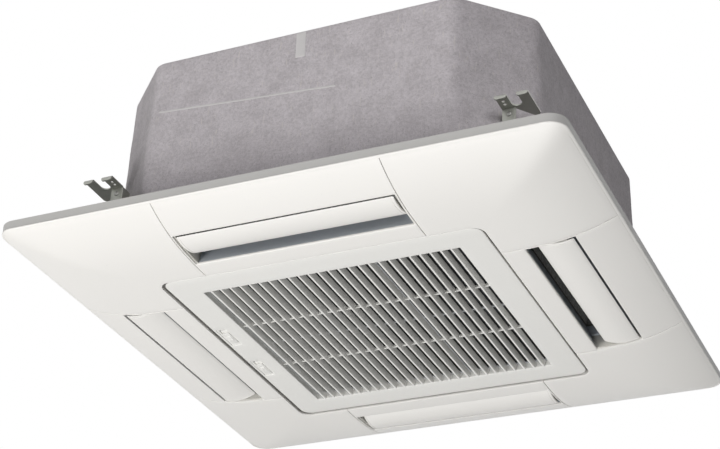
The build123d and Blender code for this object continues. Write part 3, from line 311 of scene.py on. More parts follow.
def drawn_metal(name, colour, rough, spread=0.15, metallic=1.0):
    """Turned or drawn metal with fine lines and a stain or two."""
    finish = Finish(name)
    lines = finish.noise(0.0008, 2.0, (1.0, 1.0, 0.2))
    stain = finish.noise(0.015, 4.0, shift=2.0)
    tone = finish.mix(0.4 * lines + 0.6 * stain, *shades(colour, spread))
    return finish.done(tone, rough - 0.06 + 0.15 * stain, finish.bump(lines, 0.02 * MM), Metallic=metallic)


ZINC = sheet_metal("galvanised", srgb(176, 177, 170), 0.46, metallic=0.75)
SCREW = drawn_metal("zinc_screw", srgb(170, 170, 166), 0.52, metallic=0.8)
SHAFT = drawn_metal("shaft_steel", srgb(190, 190, 192), 0.22)
MOTOR = moulded("motor_steel", srgb(88, 90, 94), 0.38, 0.06, 0.03, 0.3)
COPPER = drawn_metal("copper", srgb(196, 126, 92), 0.28)
BRASS = drawn_metal("brass_nut", srgb(204, 176, 112), 0.28)

# %% [markdown]
# ## The rest inside
# Expanded foam shows the outlines of its beads, the heat exchanger shows its edge-on fins with painted shade
# in the gaps between them, the filter is a net with real holes, and the circuit board has copper traces under
# green lacquer.

# %% Foam, fins, net and board
def make_foam():
    finish = Finish("foam_white")
    bead = finish.cells(0.004)
    seam = bead.between(0.25, 0.75)
    tone = finish.mix(seam, srgb(240, 240, 237), srgb(208, 208, 204))
    return finish.done(tone, 0.75, finish.bump(1.0 - seam, 0.25 * MM))


def make_fins():
    """Thin fins across the coil, 1.8 mm apart, along X or along Y depending on the side, with painted shade
    in the gaps between their edges.
    """
    finish = Finish("fin_aluminium")
    x, y = finish.axis(0), finish.axis(1)
    along_x = (abs(y) - abs(x)).between(-0.001, 0.001)
    run = x * along_x + y * (1.0 - along_x)
    edge = finish.zigzag(run, 0.9 * MM).between(0.25, 0.6)
    # The dark tone between the fin edges is painted shade of the gaps between fins.
    tone = finish.mix(edge, srgb(96, 98, 100), srgb(206, 209, 212))
    return finish.done(tone, 0.35 + 0.2 * finish.noise(0.02), finish.bump(edge, 0.5 * MM), Metallic=0.85)


def make_net():
    """Square net of fine threads, with the holes left open."""
    finish = Finish("mesh_grey")
    threads = [finish.zigzag(finish.axis(k), 0.7 * MM).between(0.54, 0.64) for k in (0, 1)]
    thread = threads[0].maths("MAXIMUM", threads[0], threads[1])
    tone = finish.mix(finish.noise(0.004), srgb(24, 25, 27), srgb(36, 37, 40))
    return finish.done(tone, 0.6, finish.bump(thread, 0.2 * MM), Alpha=thread)


def make_board():
    finish = Finish("board_green")
    trace = finish.cells(0.006, 0, (1.0, 0.35, 1.0), "DISTANCE_TO_EDGE").between(0.03, 0.09)
    pads = finish.cells(0.005).between(0.10, 0.16)
    tone = finish.mix(trace, srgb(58, 122, 78), srgb(28, 78, 48))
    tone = finish.mix(1.0 - pads, tone, srgb(196, 190, 172))
    return finish.done(tone, 0.3 + 0.2 * pads, finish.bump(trace, 0.05 * MM), Coat_Weight=0.3)


FOAM, FINS, NET, BOARD = make_foam(), make_fins(), make_net(), make_board()
print(len(bpy.data.materials), "finishes")

# %% [markdown]
# ## Outlines
# Most pieces here are sheets: a plan outline with holes, bent or pressed a little, with a rolled
# edge. So the first tools trace an outline with rounded corners and draw it in by a distance.

# %% Outlines in plan, in millimetres
def swept(centre, start, end, long=2.5, least=3):
    """Points on the short arc about a centre from start to end, no further apart than long."""
    (x0, y0), (x1, y1) = start - centre, end - centre
    radius, a = hypot(x0, y0), atan2(y0, x0)
    swing = (atan2(y1, x1) - a + pi) % (2 * pi) - pi
    count = max(least, ceil(abs(swing) * radius / long))
    turns = a + swing * np.arange(count + 1) / count
    return centre + radius * np.column_stack([np.cos(turns), np.sin(turns)])


def traced(corners, step=3.0):
    """Points round a polygon of (x, y, radius) corners, no further apart than step."""
    points = []
    for before, (x, y, r), after in zip(corners[-1:] + corners[:-1], corners, corners[1:] + corners[:1]):
        p = np.array((x, y), float)
        if r <= 0:
            points.append(p)
            continue
        u, v = np.array(before[:2]) - p, np.array(after[:2]) - p
        u, v = u / np.linalg.norm(u), v / np.linalg.norm(v)
        half = acos(np.clip(u @ v, -1, 1)) / 2
        centre = p + (u + v) / np.linalg.norm(u + v) * r / sin(half)
        points += list(swept(centre, p + u * r / tan(half), p + v * r / tan(half), min(step, 2.5)))
    dense = []
    for p, q in zip(points, points[1:] + points[:1]):
        count = max(1, ceil(np.linalg.norm(q - p) / step))
        dense += [p + (q - p) * k / count for k in range(count)]
    return np.array(dense)


def square(half, corner, step=3.0):
    corners = ((half, -half), (half, half), (-half, half), (-half, -half))
    return traced([(x, y, corner) for x, y in corners], step)


def rectangle(x0, x1, y0, y1, corner, step=3.0):
    return traced([(x0, y0, corner), (x1, y0, corner), (x1, y1, corner), (x0, y1, corner)], step)


def drawn_in(points, by):
    """The outline moved to the left of its way round by a distance, or by one for each point."""
    steps = points - np.roll(points, 1, 0), np.roll(points, -1, 0) - points
    one, two = (np.column_stack([-d[:, 1], d[:, 0]]) / np.linalg.norm(d, axis=1)[:, None] for d in steps)
    return points + np.reshape(by, (-1, 1)) * (one + two) / np.maximum(1 + (one * two).sum(1), 0.2)[:, None]


def circle(radius, centre=(0, 0), count=32):
    """Points of a circle."""
    angles = np.arange(count) * 2 * pi / count
    return np.array(centre) + radius * np.column_stack([np.cos(angles), np.sin(angles)])


def level(points, z):
    """Plan points at a height."""
    return np.column_stack([points, np.full(len(points), z)])


def station(x, section):
    """A section of (y, z) points at an X position."""
    return np.column_stack([np.full(len(section), x), section])


def inside(points, outline):
    """Which points lie inside a closed outline."""
    x, y = points[:, 0][:, None], points[:, 1][:, None]
    x0, y0 = outline[:, 0][None], outline[:, 1][None]
    x1, y1 = np.roll(outline[:, 0], -1)[None], np.roll(outline[:, 1], -1)[None]
    with np.errstate(divide="ignore", invalid="ignore"):
        crosses = ((y0 > y) != (y1 > y)) & (x < (x1 - x0) * (y - y0) / (y1 - y0) + x0)
    return crosses.sum(1) % 2 == 1


def within(points, rings):
    """Which points lie inside the first ring and outside the others."""
    return inside(points, rings[0]) & ~np.any([inside(points, ring) for ring in rings[1:]], axis=0)


def nearest(points, outline):
    """Distance from each point to the nearest corner of an outline."""
    return np.sqrt(((points[:, None] - outline[None]) ** 2).sum(2)).min(1)


# %% [markdown]
# ## Sheets
# A sheet is a closed shell. Its outer face is a triangle mesh with an even grid inside, so that it
# can follow a curved surface. Round the outline and each hole the face rolls over a small radius,
# as every moulded or cut edge does, then a wall goes back to the inner face.
# `place` says where a plan point lands in space, at a depth below the outer face.

# %% Sheet shells
def triangles(rings, grid):
    """Even triangles between rings of points: the points, the triangles, and each ring's points."""
    low, high = rings[0].min(0), rings[0].max(0)
    axes = [np.arange(low[k] + grid * 0.5, high[k], grid) for k in (0, 1)]
    free = np.array(np.meshgrid(*axes)).reshape(2, -1).T
    free = free[within(free, rings)]
    if len(free):
        free = free[nearest(free, np.vstack(rings)) > 0.6 * grid]
    points = np.vstack(rings + [free])
    starts = np.cumsum([0] + [len(r) for r in rings])
    edges = [(s + i, s + (i + 1) % len(r)) for s, r in zip(starts, rings) for i in range(len(r))]
    found, _, faces, sources, _, _ = delaunay_2d_cdt([Vector(p) for p in points.tolist()], edges, [], 0, 1e-4)
    found = np.array([tuple(p) for p in found])
    faces = np.array([f for f in faces if len(f) == 3])
    faces = faces[within(found[faces].mean(1), rings)]
    where = {source: i for i, group in enumerate(sources) for source in group}
    loops = [[where[s + i] for i in range(len(r))] for s, r in zip(starts, rings)]
    return found, faces.tolist(), loops


def bridge(a, b):
    """Quads between two closed loops of point numbers."""
    return [(a[i], a[(i + 1) % len(a)], b[(i + 1) % len(a)], b[i]) for i in range(len(a))]


def sheet(outline, holes, place, roll=0.6, thick=2.5, grid=5.0, back_grid=16.0):
    """Points and faces of a closed sheet with rolled edges. The roll may be a function of place."""
    rings = [outline] + [hole[::-1] for hole in holes]
    rolls = [roll(ring) if callable(roll) else np.full(len(ring), roll) for ring in rings]
    flat, faces, loops = triangles([drawn_in(ring, r) for ring, r in zip(rings, rolls)], grid)
    points = [place(flat[:, 0], flat[:, 1], np.zeros(len(flat)))]
    count = len(flat)
    borders = []
    for ring, loop, r in zip(rings, loops, rolls):
        steps = [(r * (1 - cos(a)), r * (1 - sin(a))) for a in (pi / 3, pi / 6, 0.0)]
        for inset, depth in steps + [(0.0, thick)]:
            edge = drawn_in(ring, inset)
            points.append(place(edge[:, 0], edge[:, 1], np.broadcast_to(depth, len(edge))))
            here = list(range(count, count + len(edge)))
            faces += bridge(loop, here)
            loop, count = here, count + len(edge)
        borders.append(loop)
    behind, back_faces, back_loops = triangles(rings, back_grid)
    on_border = {n: border[i] for border, loop in zip(borders, back_loops) for i, n in enumerate(loop)}
    spare = [i for i in range(len(behind)) if i not in on_border]
    on_border.update({n: count + k for k, n in enumerate(spare)})
    if spare:
        points.append(place(behind[spare, 0], behind[spare, 1], np.full(len(spare), thick)))
    faces += [tuple(on_border[n] for n in reversed(face)) for face in back_faces]
    return np.vstack(points), faces


# %% [markdown]
# What isn't a sheet is simpler: a band carried round an outline, a stack of loops with a cap at
# each end, or a body turned on a lathe. All of them come as points and faces, in millimetres.

# %% Bands, stacks and turned bodies
def rows(count, number):
    """Point numbers in rows of count points."""
    return [list(range(k * count, (k + 1) * count)) for k in range(number)]


def lines_round(section, outline):
    """The line that each (inset, height) point of a section draws round an outline."""
    return [level(drawn_in(outline, inset), height) for inset, height in section]


def hoop(section, outline):
    """A closed band: a section carried round an outline."""
    loops = rows(len(outline), len(section))
    faces = [face for a, b in zip(loops, loops[1:] + loops[:1]) for face in bridge(a, b)]
    return np.vstack(lines_round(section, outline)), faces


def stack(loops):
    """A closed body through loops of equal length, capped at both ends."""
    numbers = rows(len(loops[0]), len(loops))
    faces = [face for a, b in zip(numbers, numbers[1:]) for face in bridge(a, b)]
    return np.vstack(loops), faces + [tuple(reversed(numbers[0])), tuple(numbers[-1])]


def board(section, x0, x1):
    """A flat board between two X positions, with this outline of (y, z) points."""
    return stack([station(x0, np.array(section)), station(x1, np.array(section))])


def run(section, outline, kept):
    """A band like a hoop, but only beside the kept points of its outline, capped at each end."""
    lines = lines_round(section, outline)
    parts, loops = [], []
    for i in np.roll(np.arange(len(outline)), -int(np.argmin(kept))):
        if kept[i]:
            loops.append(np.array([line[i] for line in lines]))
        elif loops:
            parts.append(stack(loops))
            loops = []
    return parts + ([stack(loops)] if loops else [])


def slab(outline, z0, z1, edge=0.4):
    """An upright prism with its top and bottom edges rounded."""
    steps = [(edge, 0), (edge * 0.3, edge * 0.3), (0, edge)]
    section = [(i, z0 + d) for i, d in steps] + [(i, z1 - d) for i, d in reversed(steps)]
    return stack(lines_round(section, outline))


def bar(x0, x1, y0, y1, z0, z1, edge=0.4):
    return slab(rectangle(x0, x1, y0, y1, max(edge, 0.1), 1000), z0, z1, edge)


def lathe(section, count=20):
    """A turned body over (radius, height) points, closed at both ends on the axis."""
    return stack([level(circle(max(r, 1e-3), (0, 0), count), z) for r, z in section])


def carried(part, matrix):
    """A part moved by a matrix, in millimetres."""
    points, faces = part
    return points @ np.array(matrix.to_3x3()).T + np.array(matrix.translation), faces


def turned(part, quarter):
    return carried(part, Matrix.Rotation(quarter * pi / 2, 4, "Z"))


def cornered(part, sx, sy):
    """A front right part mirrored to another corner."""
    points, faces = part
    return points * (sx, -sy, 1), faces


# %% [markdown]
# A piece joins its parts in one object. It then rides on the body that it moves with, and says
# which solids it stands for, so that those are hidden.

# %% Pieces on their bodies
CORNERS = {"front_right": (1, -1), "rear_right": (1, 1), "rear_left": (-1, 1), "front_left": (-1, -1)}
SIDES = ("front", "right", "rear", "left")


def outwards(mesh, weld=False):
    """Turn a mesh's faces outwards, after welding points that coincide where that is asked for."""
    work = bmesh.new()
    work.from_mesh(mesh)
    if weld:
        bmesh.ops.remove_doubles(work, verts=work.verts, dist=1e-6)
    bmesh.ops.recalc_face_normals(work, faces=work.faces)
    work.to_mesh(mesh)
    work.free()


def piece(name, parts, finish, body="unit", stands_for=(), sharp=38):
    """One mesh object from parts, with its normals outwards, on its body."""
    points, faces = [], []
    for some, its_faces in parts:
        start = sum(len(p) for p in points)
        points.append(some)
        faces += [[n + start for n in face] for face in its_faces]
    mesh = bpy.data.meshes.new(name)
    mesh.from_pydata((np.vstack(points) * MM).tolist(), [], faces)
    outwards(mesh, weld=True)
    return shown(bpy.data.objects.new(name, mesh), finish, body, stands_for, sharp)


def shown(made, finish, body, stands_for=(), sharp=38):
    """Give an object its finish, smooth faces with sharp edges, and its body."""
    if made.name not in scene.collection.objects:
        scene.collection.objects.link(made)
    made.data.materials.clear()
    made.data.materials.append(finish)
    made.data.shade_smooth()
    made.data.set_sharp_from_angle(angle=radians(sharp))
    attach(made, body)
    if stands_for:
        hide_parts(*stands_for)
    return made


# %% [markdown]
# ## Decoration panel
# The panel swells below its thin upright rim like a pillow: steep at the edge and flat past 150 mm.
# Two such swells, one along X and one along Y, meet in a mitre on each diagonal. A plain maximum
# would leave a crease there, so they are blended as a sum of high powers, which a mould maker
# would call a growing fillet.

# %% The pillow's height
HALF, RIM, DEPTH, REACH, MITRE = 350.0, 12.0, 24.5, 150.0, 5.3
COVER_EDGE, SEAM, SEAM_GAP = 346.9, 141.0, 0.9
OPENING, OPENING_R = 207.5, 15.0
SLOT_IN, SLOT_EDGE, SLOT_END = 236.0, 295.8, 139.4


def face_height(x, y):
    swells = [DEPTH * np.clip(1 - (HALF - np.abs(c)) / REACH, 0, 1) ** 3 for c in (x, y)]
    return (swells[0] ** MITRE + swells[1] ** MITRE) ** (1 / MITRE) - DEPTH - RIM


def on_face(x, y, depth):
    return np.column_stack([x, y, face_height(x, y) + depth])


# %% [markdown]
# The rim ends below in a fine lip that catches the light and stands out a little from its wall.
# Four side sections carry the outlet slots. Four corner covers clip in between them, and the
# seams beside the slots are the only lines on the face. At a slot's inner side the edge is rolled
# wider, so that the air leaves along the face.

# %% Rim, side sections and corner covers
RIM_WALL = [(3.0, -0.4), (2.6, 0), (0.9, 0), (0.5, -0.4), (0.65, -10.5), (0.1, -10.7)]
LIP = [(0, -10.9), (0.06, -11.4), (0.3, -11.9), (0.8, -12.35), (1.5, -12.73), (2.5, -13.2), (2.95, -13.42)]
RIM_BACK = [(3.0, -13.3), (3.0, -10.6), (7.5, -10.6), (7.5, -8.8), (3.0, -8.8)]
rim = hoop(RIM_WALL + LIP + RIM_BACK, square(HALF, 22))


def panel_roll(ring):
    """Sharp beside the rim, wide at a slot's inner edge, and rolled a little elsewhere."""
    far = np.abs(ring).max(1)
    inner = (np.abs(ring[:, 0]) < SLOT_END + 0.1) & (np.abs(ring[:, 1] + SLOT_IN) < 0.5)
    return np.where(far > 335, 0.12, np.where(inner, 1.3, 0.5))


slot_edge = rectangle(-SLOT_END, SLOT_END, -SLOT_EDGE, -SLOT_IN, 1.2)
section = sheet(rectangle(-SEAM, SEAM, -COVER_EDGE, -OPENING, 0), [slot_edge], on_face, panel_roll)
side = SEAM + SEAM_GAP
cover_outline = [(side, -COVER_EDGE, 0.3), (COVER_EDGE, -COVER_EDGE, 18.9), (COVER_EDGE, -side, 0.3),
                 (OPENING, -side, 0.3), (OPENING, -OPENING, OPENING_R), (side, -OPENING, 0.3)]
cover = sheet(traced(cover_outline), [], on_face, panel_roll)
for corner, signs in CORNERS.items():
    piece("cover_" + corner, [cornered(cover, *signs)], PANEL, stands_for=["corner_cover_" + corner])
print("corner cover:", len(cover[1]), "faces")

# %% [markdown]
# Behind the face, seen from above or with the grille open, are the collar round the intake, the
# floors behind the covers, the walls beside the slots, and the ledge with the hinge lugs.

# %% Behind the face
HINGE_X, HINGE_Z, HINGES = 194, -28, (-150, 150)
SLOT_WALL, FLOOR_EDGE, FLOOR_Z, BOSS, LUG = 140.2, 139.6, -6, 226, 3.6
ALONG_X, ALONG_Y = Matrix.Rotation(pi / 2, 4, "Y"), Matrix.Rotation(-pi / 2, 4, "X")


def across_slot(at):
    """Upright wall beside a slot, cut to the face's curve, at an X position."""
    y = np.linspace(-HALF + 4, -OPENING - 1, 40)
    low = face_height(np.full(40, at), y) + 2.3
    return board(np.vstack([np.column_stack([y, low]), [(y[-1], -4), (y[0], -4)]]), at - 0.8, at + 0.8)


def pin(radius, start, end, centre, turn, count=24):
    """A plain cylinder between two positions along an axis."""
    body = lathe([(0, start), (radius, start), (radius, end), (0, end)], count)
    return carried(body, Matrix.Translation(centre) @ turn)


def flat_at(z):
    return lambda x, y, depth: np.column_stack([x, y, np.full(len(x), z) + depth])


floor_outline = [(FLOOR_EDGE, -346, 0), (346, -346, 18), (346, -FLOOR_EDGE, 0),
                 (208, -FLOOR_EDGE, 0), (208, -208, 15), (FLOOR_EDGE, -208, 0)]
clip_slots = [rectangle(x - 3.6, x + 3.6, -y - 2.6, -y + 2.6, 0.5) for x, y in ((168, 326), (326, 168))]
corner_floor = sheet(traced(floor_outline), clip_slots, flat_at(FLOOR_Z), 0.3, 2.0, 20)
boss = lathe([(0, FLOOR_Z), (8, FLOOR_Z), (8, -0.4), (7.6, 0), (0, 0)], 28)
boss = carried(boss, Matrix.Translation((BOSS, -BOSS, 0)))
collar = hoop([(-1.2, -33.4), (-1.2, -4.4), (-1.5, -4), (-2.5, -4), (-2.8, -4.4), (-2.8, -33.4)],
              square(OPENING, OPENING_R))
lugs = [bar(188, 208, -170, 170, -12, -10)]
for middle in HINGES:
    for near, far in ((middle + 9.5, middle + 13.0), (middle - 13.0, middle - 9.5)):
        lugs.append(pin(LUG, near, far, (HINGE_X, 0, HINGE_Z), ALONG_Y))
        lugs.append(bar(HINGE_X - LUG, HINGE_X + LUG, near, far, HINGE_Z, -11))
panel_parts = [rim, collar] + lugs
for quarter in range(4):
    panel_parts += [turned(part, quarter)
                    for part in (section, across_slot(SLOT_WALL), across_slot(-SLOT_WALL))]
for signs in CORNERS.values():
    panel_parts += [cornered(corner_floor, *signs), cornered(boss, *signs)]
panel = piece("panel", panel_parts, PANEL, stands_for=["panel_frame"])
print("panel:", len(panel.data.polygons), "faces")

# %% [markdown]
# ## Louvres
# Each louvre is a long crescent: thick in the middle, thin at its lips, with rounded corners and a
# moulded line near each end where the end cap starts. The section comes from two arcs, and
# stations along the length shrink it at the ends to round them.

# %% Louvre flaps
def arc(first, through, last):
    """Points on the circle through three points, in equal steps."""
    ends = np.array((first, through, last), float)
    (x1, y1), (x2, y2) = ends[1] - ends[0], ends[2] - ends[0]
    one, two, d = x1 * x1 + y1 * y1, x2 * x2 + y2 * y2, 2 * (x1 * y2 - x2 * y1)
    centre = ends[0] + ((y2 * one - y1 * two) / d, (x1 * two - x2 * one) / d)
    return swept(centre, ends[0], ends[2], least=STEPS)


STEPS = 120
LOW = ((-292.8, -30.4), (-270.0, -33.5), (-247.0, -26.9))
HIGH = ((-292.8, -29.2), (-271.0, -30.1), (-247.0, -25.7))
FLAP_HALF, FLAP_CORNER = 135.9, 1.6
LINES = [arc(*line) for line in (LOW, HIGH)]
GROOVE, GROOVE_DEEP = (3.0, 3.7), 0.35
CHORD, LIP_STEPS, END_ROUND = 46.5, 2.2, 0.9


def flap_section(x, inset):
    """The crescent at X, a distance in from the flap's end."""
    short = FLAP_CORNER - sqrt(max(FLAP_CORNER ** 2 - max(FLAP_CORNER - inset, 0) ** 2, 0))
    share = short / CHORD
    t = np.linspace(share, 1 - share, 33) * STEPS
    low, high = (np.column_stack([np.interp(t, np.arange(STEPS + 1), c) for c in line.T]) for line in LINES)
    middle, half = (low + high) / 2, (high - low) / 2
    lips = np.clip(np.minimum(t - t[0], t[-1] - t) / LIP_STEPS, 0, 1)
    end = sqrt(1 - (1 - min(max(inset, 0.02) / END_ROUND, 1)) ** 2)
    half *= (np.sqrt(np.clip(1 - (1 - lips) ** 2, 0.02, 1)) * end)[:, None]
    groove = GROOVE_DEEP if GROOVE[0] < inset < GROOVE[1] else 0.0
    return station(x, np.vstack([middle - half + (0, groove), (middle + half)[::-1]]))


insets = [0.02, 0.08, 0.2, 0.4, 0.65, 0.9, 1.5, 2.2, 2.9, 3.05, 3.65, 3.8, 4.5, 8.0]
stations = [-FLAP_HALF + i for i in insets] + list(np.linspace(-120, 120, 13))
stations += [FLAP_HALF - i for i in reversed(insets)]
flap = stack([flap_section(x, FLAP_HALF - abs(x)) for x in stations])
PIVOT = (0, -276, -19)
ears = []
for end in (-1, 1):
    inner, outer = sorted((end * 133.5, end * 135.3))
    ears.append(board([(-267, -30.9), (-285, -30.9), (-280.6, -19), (-271.4, -19)], inner, outer))
    ears.append(pin(5, inner, outer, PIVOT, ALONG_X))
    ears.append(pin(2, *sorted((end * 135.0, end * 143.5)), PIVOT, ALONG_X, 16))
for quarter, side in enumerate(SIDES):
    parts = [turned(part, quarter) for part in [flap] + ears]
    piece("flap_" + side, parts, LOUVRE, "louvre_" + side, ["louvre_" + side], 30)
print("flap:", len(flap[1]), "faces")

# %% [markdown]
# Deep in each slot, near both ends, a short upright vane keeps the air off the end wall.

# %% Guide vanes
VANE = [(-229.4, -18), (-244, -18), (-244, -5), (-225, -5)]
vanes = [turned(board(VANE, x - 0.5, x + 0.5), quarter)
         for x in (-131.5, -134.0, 131.5, 134.0) for quarter in range(4)]
piece("vanes", vanes, DUCT)
print("vanes:", len(vanes))

# %% [markdown]
# ## Intake grille
# The grille is a frame round a well. Twenty-five blades stand in it, leaning a little to the hinge
# side, so from below the eye sees their lit edges, their shaded faces and a dark gap beyond each.
# Its wall is cut back round the hinges, so that it can swing, and beside the latches.

# %% Grille frame, well and crossbars
GRILLE_HALF, GRILLE_R, GRILLE_Z, WELL, WELL_TOP = 204.0, 13.0, -34.7, 166.5, -26.3
LATCH_X, LATCHES = -193.2, {"front": -46.5, "rear": 49.5}


def around_latch(wide, long, y, corner, step=3.0):
    return rectangle(LATCH_X - wide / 2, LATCH_X + wide / 2, y - long / 2, y + long / 2, corner, step)


pockets = [around_latch(14.5, 47, y, 2.6, 2.0) for y in LATCHES.values()]
edge, well = square(GRILLE_HALF, GRILLE_R, 2.0), square(WELL, 1.0)
face = sheet(square(GRILLE_HALF, GRILLE_R), [well] + pockets, flat_at(GRILLE_Z), 0.9, 2.5, 8.0)
hinge_side = (edge[:, 0] > 200) & (np.abs(np.abs(edge[:, 1]) - HINGES[1]) < 17)
latch_side = (edge[:, 0] < -200) & (np.abs(edge[:, 1][:, None] - list(LATCHES.values())).min(1) < 14)
WALL = [(1.3, -32.4), (1.3, -24.4), (1.6, -24), (3.0, -24), (3.3, -24.4), (3.3, -32.4)]
WELL_WALL = [(0, -32.2), (0, -26.6), (-0.3, -26.3), (-1.7, -26.3), (-2, -26.6), (-2, -32.2)]
grille_parts = [face] + run(WALL, edge, ~hinge_side & ~latch_side) + [hoop(WELL_WALL, well)]
for y in LATCHES.values():
    outline, opening = around_latch(15.5, 48, y, 2.6), around_latch(10, 40, y, 1.5, 2.0)
    grille_parts.append(sheet(outline, [opening], flat_at(GRILLE_Z + 0.9), 0.3, 1.6, 4.0))
for y in (-59.0, 59.0):
    grille_parts.append(bar(-WELL - 0.5, WELL + 0.5, y - 1, y + 1, -29.9, WELL_TOP, 0.2))
for y in HINGES:
    grille_parts.append(pin(4, y - 9, y + 9, (HINGE_X, 0, HINGE_Z), ALONG_Y))
    grille_parts.append(bar(HINGE_X - 4, HINGE_X + 4, y - 9, y + 9, HINGE_Z - 5, HINGE_Z))
grille = piece("grille", grille_parts, GRILLE, "grille", ["intake_grille"])
print("grille:", len(grille.data.polygons), "faces")

# %% [markdown]
# ## Trees that repeat
# What repeats is made by Geometry Nodes: one shape, and a tree that says how often and where.
# The first tree sets a shape in a row. The second sets a shape on marked points, turned to face
# the way that each mark says, with a random twist as a fitter's screwdriver leaves it.

# %% Geometry Nodes trees
def start_tree(name, **inputs):
    """A Geometry Nodes tree with named inputs: the tree and the inputs' sockets."""
    tree = bpy.data.node_groups.new(name, "GeometryNodeTree")
    tree.interface.new_socket("Geometry", in_out="OUTPUT", socket_type="NodeSocketGeometry")
    for label, kind in dict(Geometry="Geometry", **inputs, Finish="Material").items():
        tree.interface.new_socket(label, in_out="INPUT", socket_type="NodeSocket" + kind)
    return tree, add_node(tree, "NodeGroupInput")


def end_tree(tree, given, sockets):
    """Set the shape on points, make the copies real and give them the finish."""
    copies = add_node(tree, "GeometryNodeInstanceOnPoints", {"Instance": given["Geometry"], **sockets})[0]
    real = add_node(tree, "GeometryNodeRealizeInstances", {0: copies})[0]
    dressed = add_node(tree, "GeometryNodeSetMaterial", {0: real, "Material": given["Finish"]})[0]
    add_node(tree, "NodeGroupOutput", {0: dressed})
    return tree


def row_tree():
    tree, given = start_tree("row", Count="Int", Pitch="Vector")
    sockets = {"Count": given["Count"], "Offset": given["Pitch"]}
    line = add_node(tree, "GeometryNodeMeshLine", sockets, mode="OFFSET")[0]
    return end_tree(tree, given, {"Points": line})


def marks_tree():
    tree, given = start_tree("on_marks", Marks="Object", Twist="Float", Seed="Int")
    marks = add_node(tree, "GeometryNodeObjectInfo", {"Object": given["Marks"]})["Geometry"]
    facing = add_node(tree, "GeometryNodeInputNamedAttribute", {"Name": "facing"}, data_type="FLOAT_VECTOR")
    turn = add_node(tree, "FunctionNodeAlignRotationToVector", {"Vector": facing["Attribute"]}, axis="Z")[0]
    sockets = {2: 0.0, 3: given["Twist"], "Seed": given["Seed"]}
    twist = add_node(tree, "FunctionNodeRandomValue", sockets, data_type="FLOAT")[1]
    own = add_node(tree, "FunctionNodeAxisAngleToRotation", {"Axis": (0, 0, 1), "Angle": twist})[0]
    both = add_node(tree, "FunctionNodeRotateRotation", {0: turn, 1: own}, rotation_space="LOCAL")[0]
    return end_tree(tree, given, {"Points": marks, "Rotation": both})


ROW, ON_MARKS = row_tree(), marks_tree()


def grown(name, part, tree, values, finish, body="unit", stands_for=()):
    """Run a tree on one shape and keep the result as a plain mesh."""
    seed = bpy.data.meshes.new(name + "_one")
    seed.from_pydata((part[0] * MM).tolist(), [], part[1])
    made = bpy.data.objects.new(name, seed)
    scene.collection.objects.link(made)
    nodes = made.modifiers.new("repeat", "NODES")
    nodes.node_group = tree
    values = dict(values, Finish=finish)
    for item in tree.interface.items_tree:
        if item.in_out == "INPUT" and item.name in values:
            nodes[item.identifier] = values[item.name]
    ready = made.evaluated_get(bpy.context.evaluated_depsgraph_get())
    made.data = bpy.data.meshes.new_from_object(ready)
    made.modifiers.clear()
    outwards(made.data)
    return shown(made, finish, body, stands_for)


def scattered(name, part, spots, twist, seed, stands_for):
    """Set a shape on spots, each a (point, direction) in millimetres."""
    mesh = bpy.data.meshes.new(name + "_marks")
    mesh.from_pydata([tuple(MM * c for c in point) for point, _ in spots], [], [])
    facing = mesh.attributes.new("facing", "FLOAT_VECTOR", "POINT")
    facing.data.foreach_set("vector", [c for _, direction in spots for c in direction])
    marks = bpy.data.objects.new(name + "_marks", mesh)
    scene.collection.objects.link(marks)
    values = {"Marks": marks, "Twist": twist, "Seed": seed}
    grown(name, part, ON_MARKS, values, SCREW, stands_for=[stands_for])
    bpy.data.objects.remove(marks)
    print(name + ":", len(spots))


# %% [markdown]
# Each blade is a straight strip with rounded edges, from wall to wall of the well. The row tree
# repeats it at an even pitch.

# %% Blades of the grille
BLADES, PITCH, BLADE_EDGE, LEAN = 25, 12.98, 2.3, 0.2
tall = WELL_TOP - GRILLE_Z
lean_run = tall * LEAN
corners = [(0, 0, 0.15), (BLADE_EDGE, 0, 0.15), (BLADE_EDGE + lean_run, tall, 0.3), (lean_run, tall, 0.3)]
leaf = traced(corners, 1000) + (-(BLADES - 1) / 2 * PITCH - BLADE_EDGE / 2, GRILLE_Z)
blade = stack([np.insert(leaf, 1, y, axis=1) for y in (-WELL - 0.4, WELL + 0.4)])
blades = grown("blades", blade, ROW, {"Count": BLADES, "Pitch": (PITCH * MM, 0, 0)}, GRILLE, "grille")
print("blades:", len(blades.data.polygons), "faces")

# %% [markdown]
# ## Latches
# Two small slides hold the grille shut. Each has a rounded knob with ribs for a fingertip.

# %% Latch knobs
OFF_MIDDLE = 4.0
for name, y in LATCHES.items():
    middle = y + OFF_MIDDLE
    knob = [slab(around_latch(9.4, 30, middle, 1.6, 2.0), -34.5, -31.0, 0.5)]
    knob.append(slab(around_latch(6.4, 13, middle, 1.5, 2.0), -35.1, -34.0, 0.45))
    for rib in (middle - 4, middle - 2, middle, middle + 2, middle + 4):
        knob.append(bar(LATCH_X - 2.6, LATCH_X + 2.6, rib - 0.35, rib + 0.35, -35.25, -35.0, 0.1))
    knob.append(bar(LATCH_X - 7, LATCH_X + 8, middle - 20, middle + 20, -32.15, -30.65, 0.3))
    knob.append(bar(-203.6, LATCH_X, middle - 6, middle + 6, -32.15, -28.15, 0.4))
    piece("knob_" + name, knob, GRILLE, "latch_" + name, ["grille_latch_" + name])
print("latches:", len(LATCHES))

# %% [markdown]
# ## Felt wrap
# The wrap follows the drafted eight-sided body. It is drawn flat, as it is cut, with distance
# along the wall and height as its two directions, then laid round the body. Felt is never quite
# flat: it waves gently, swells over the brackets and shows a crease where it was folded.

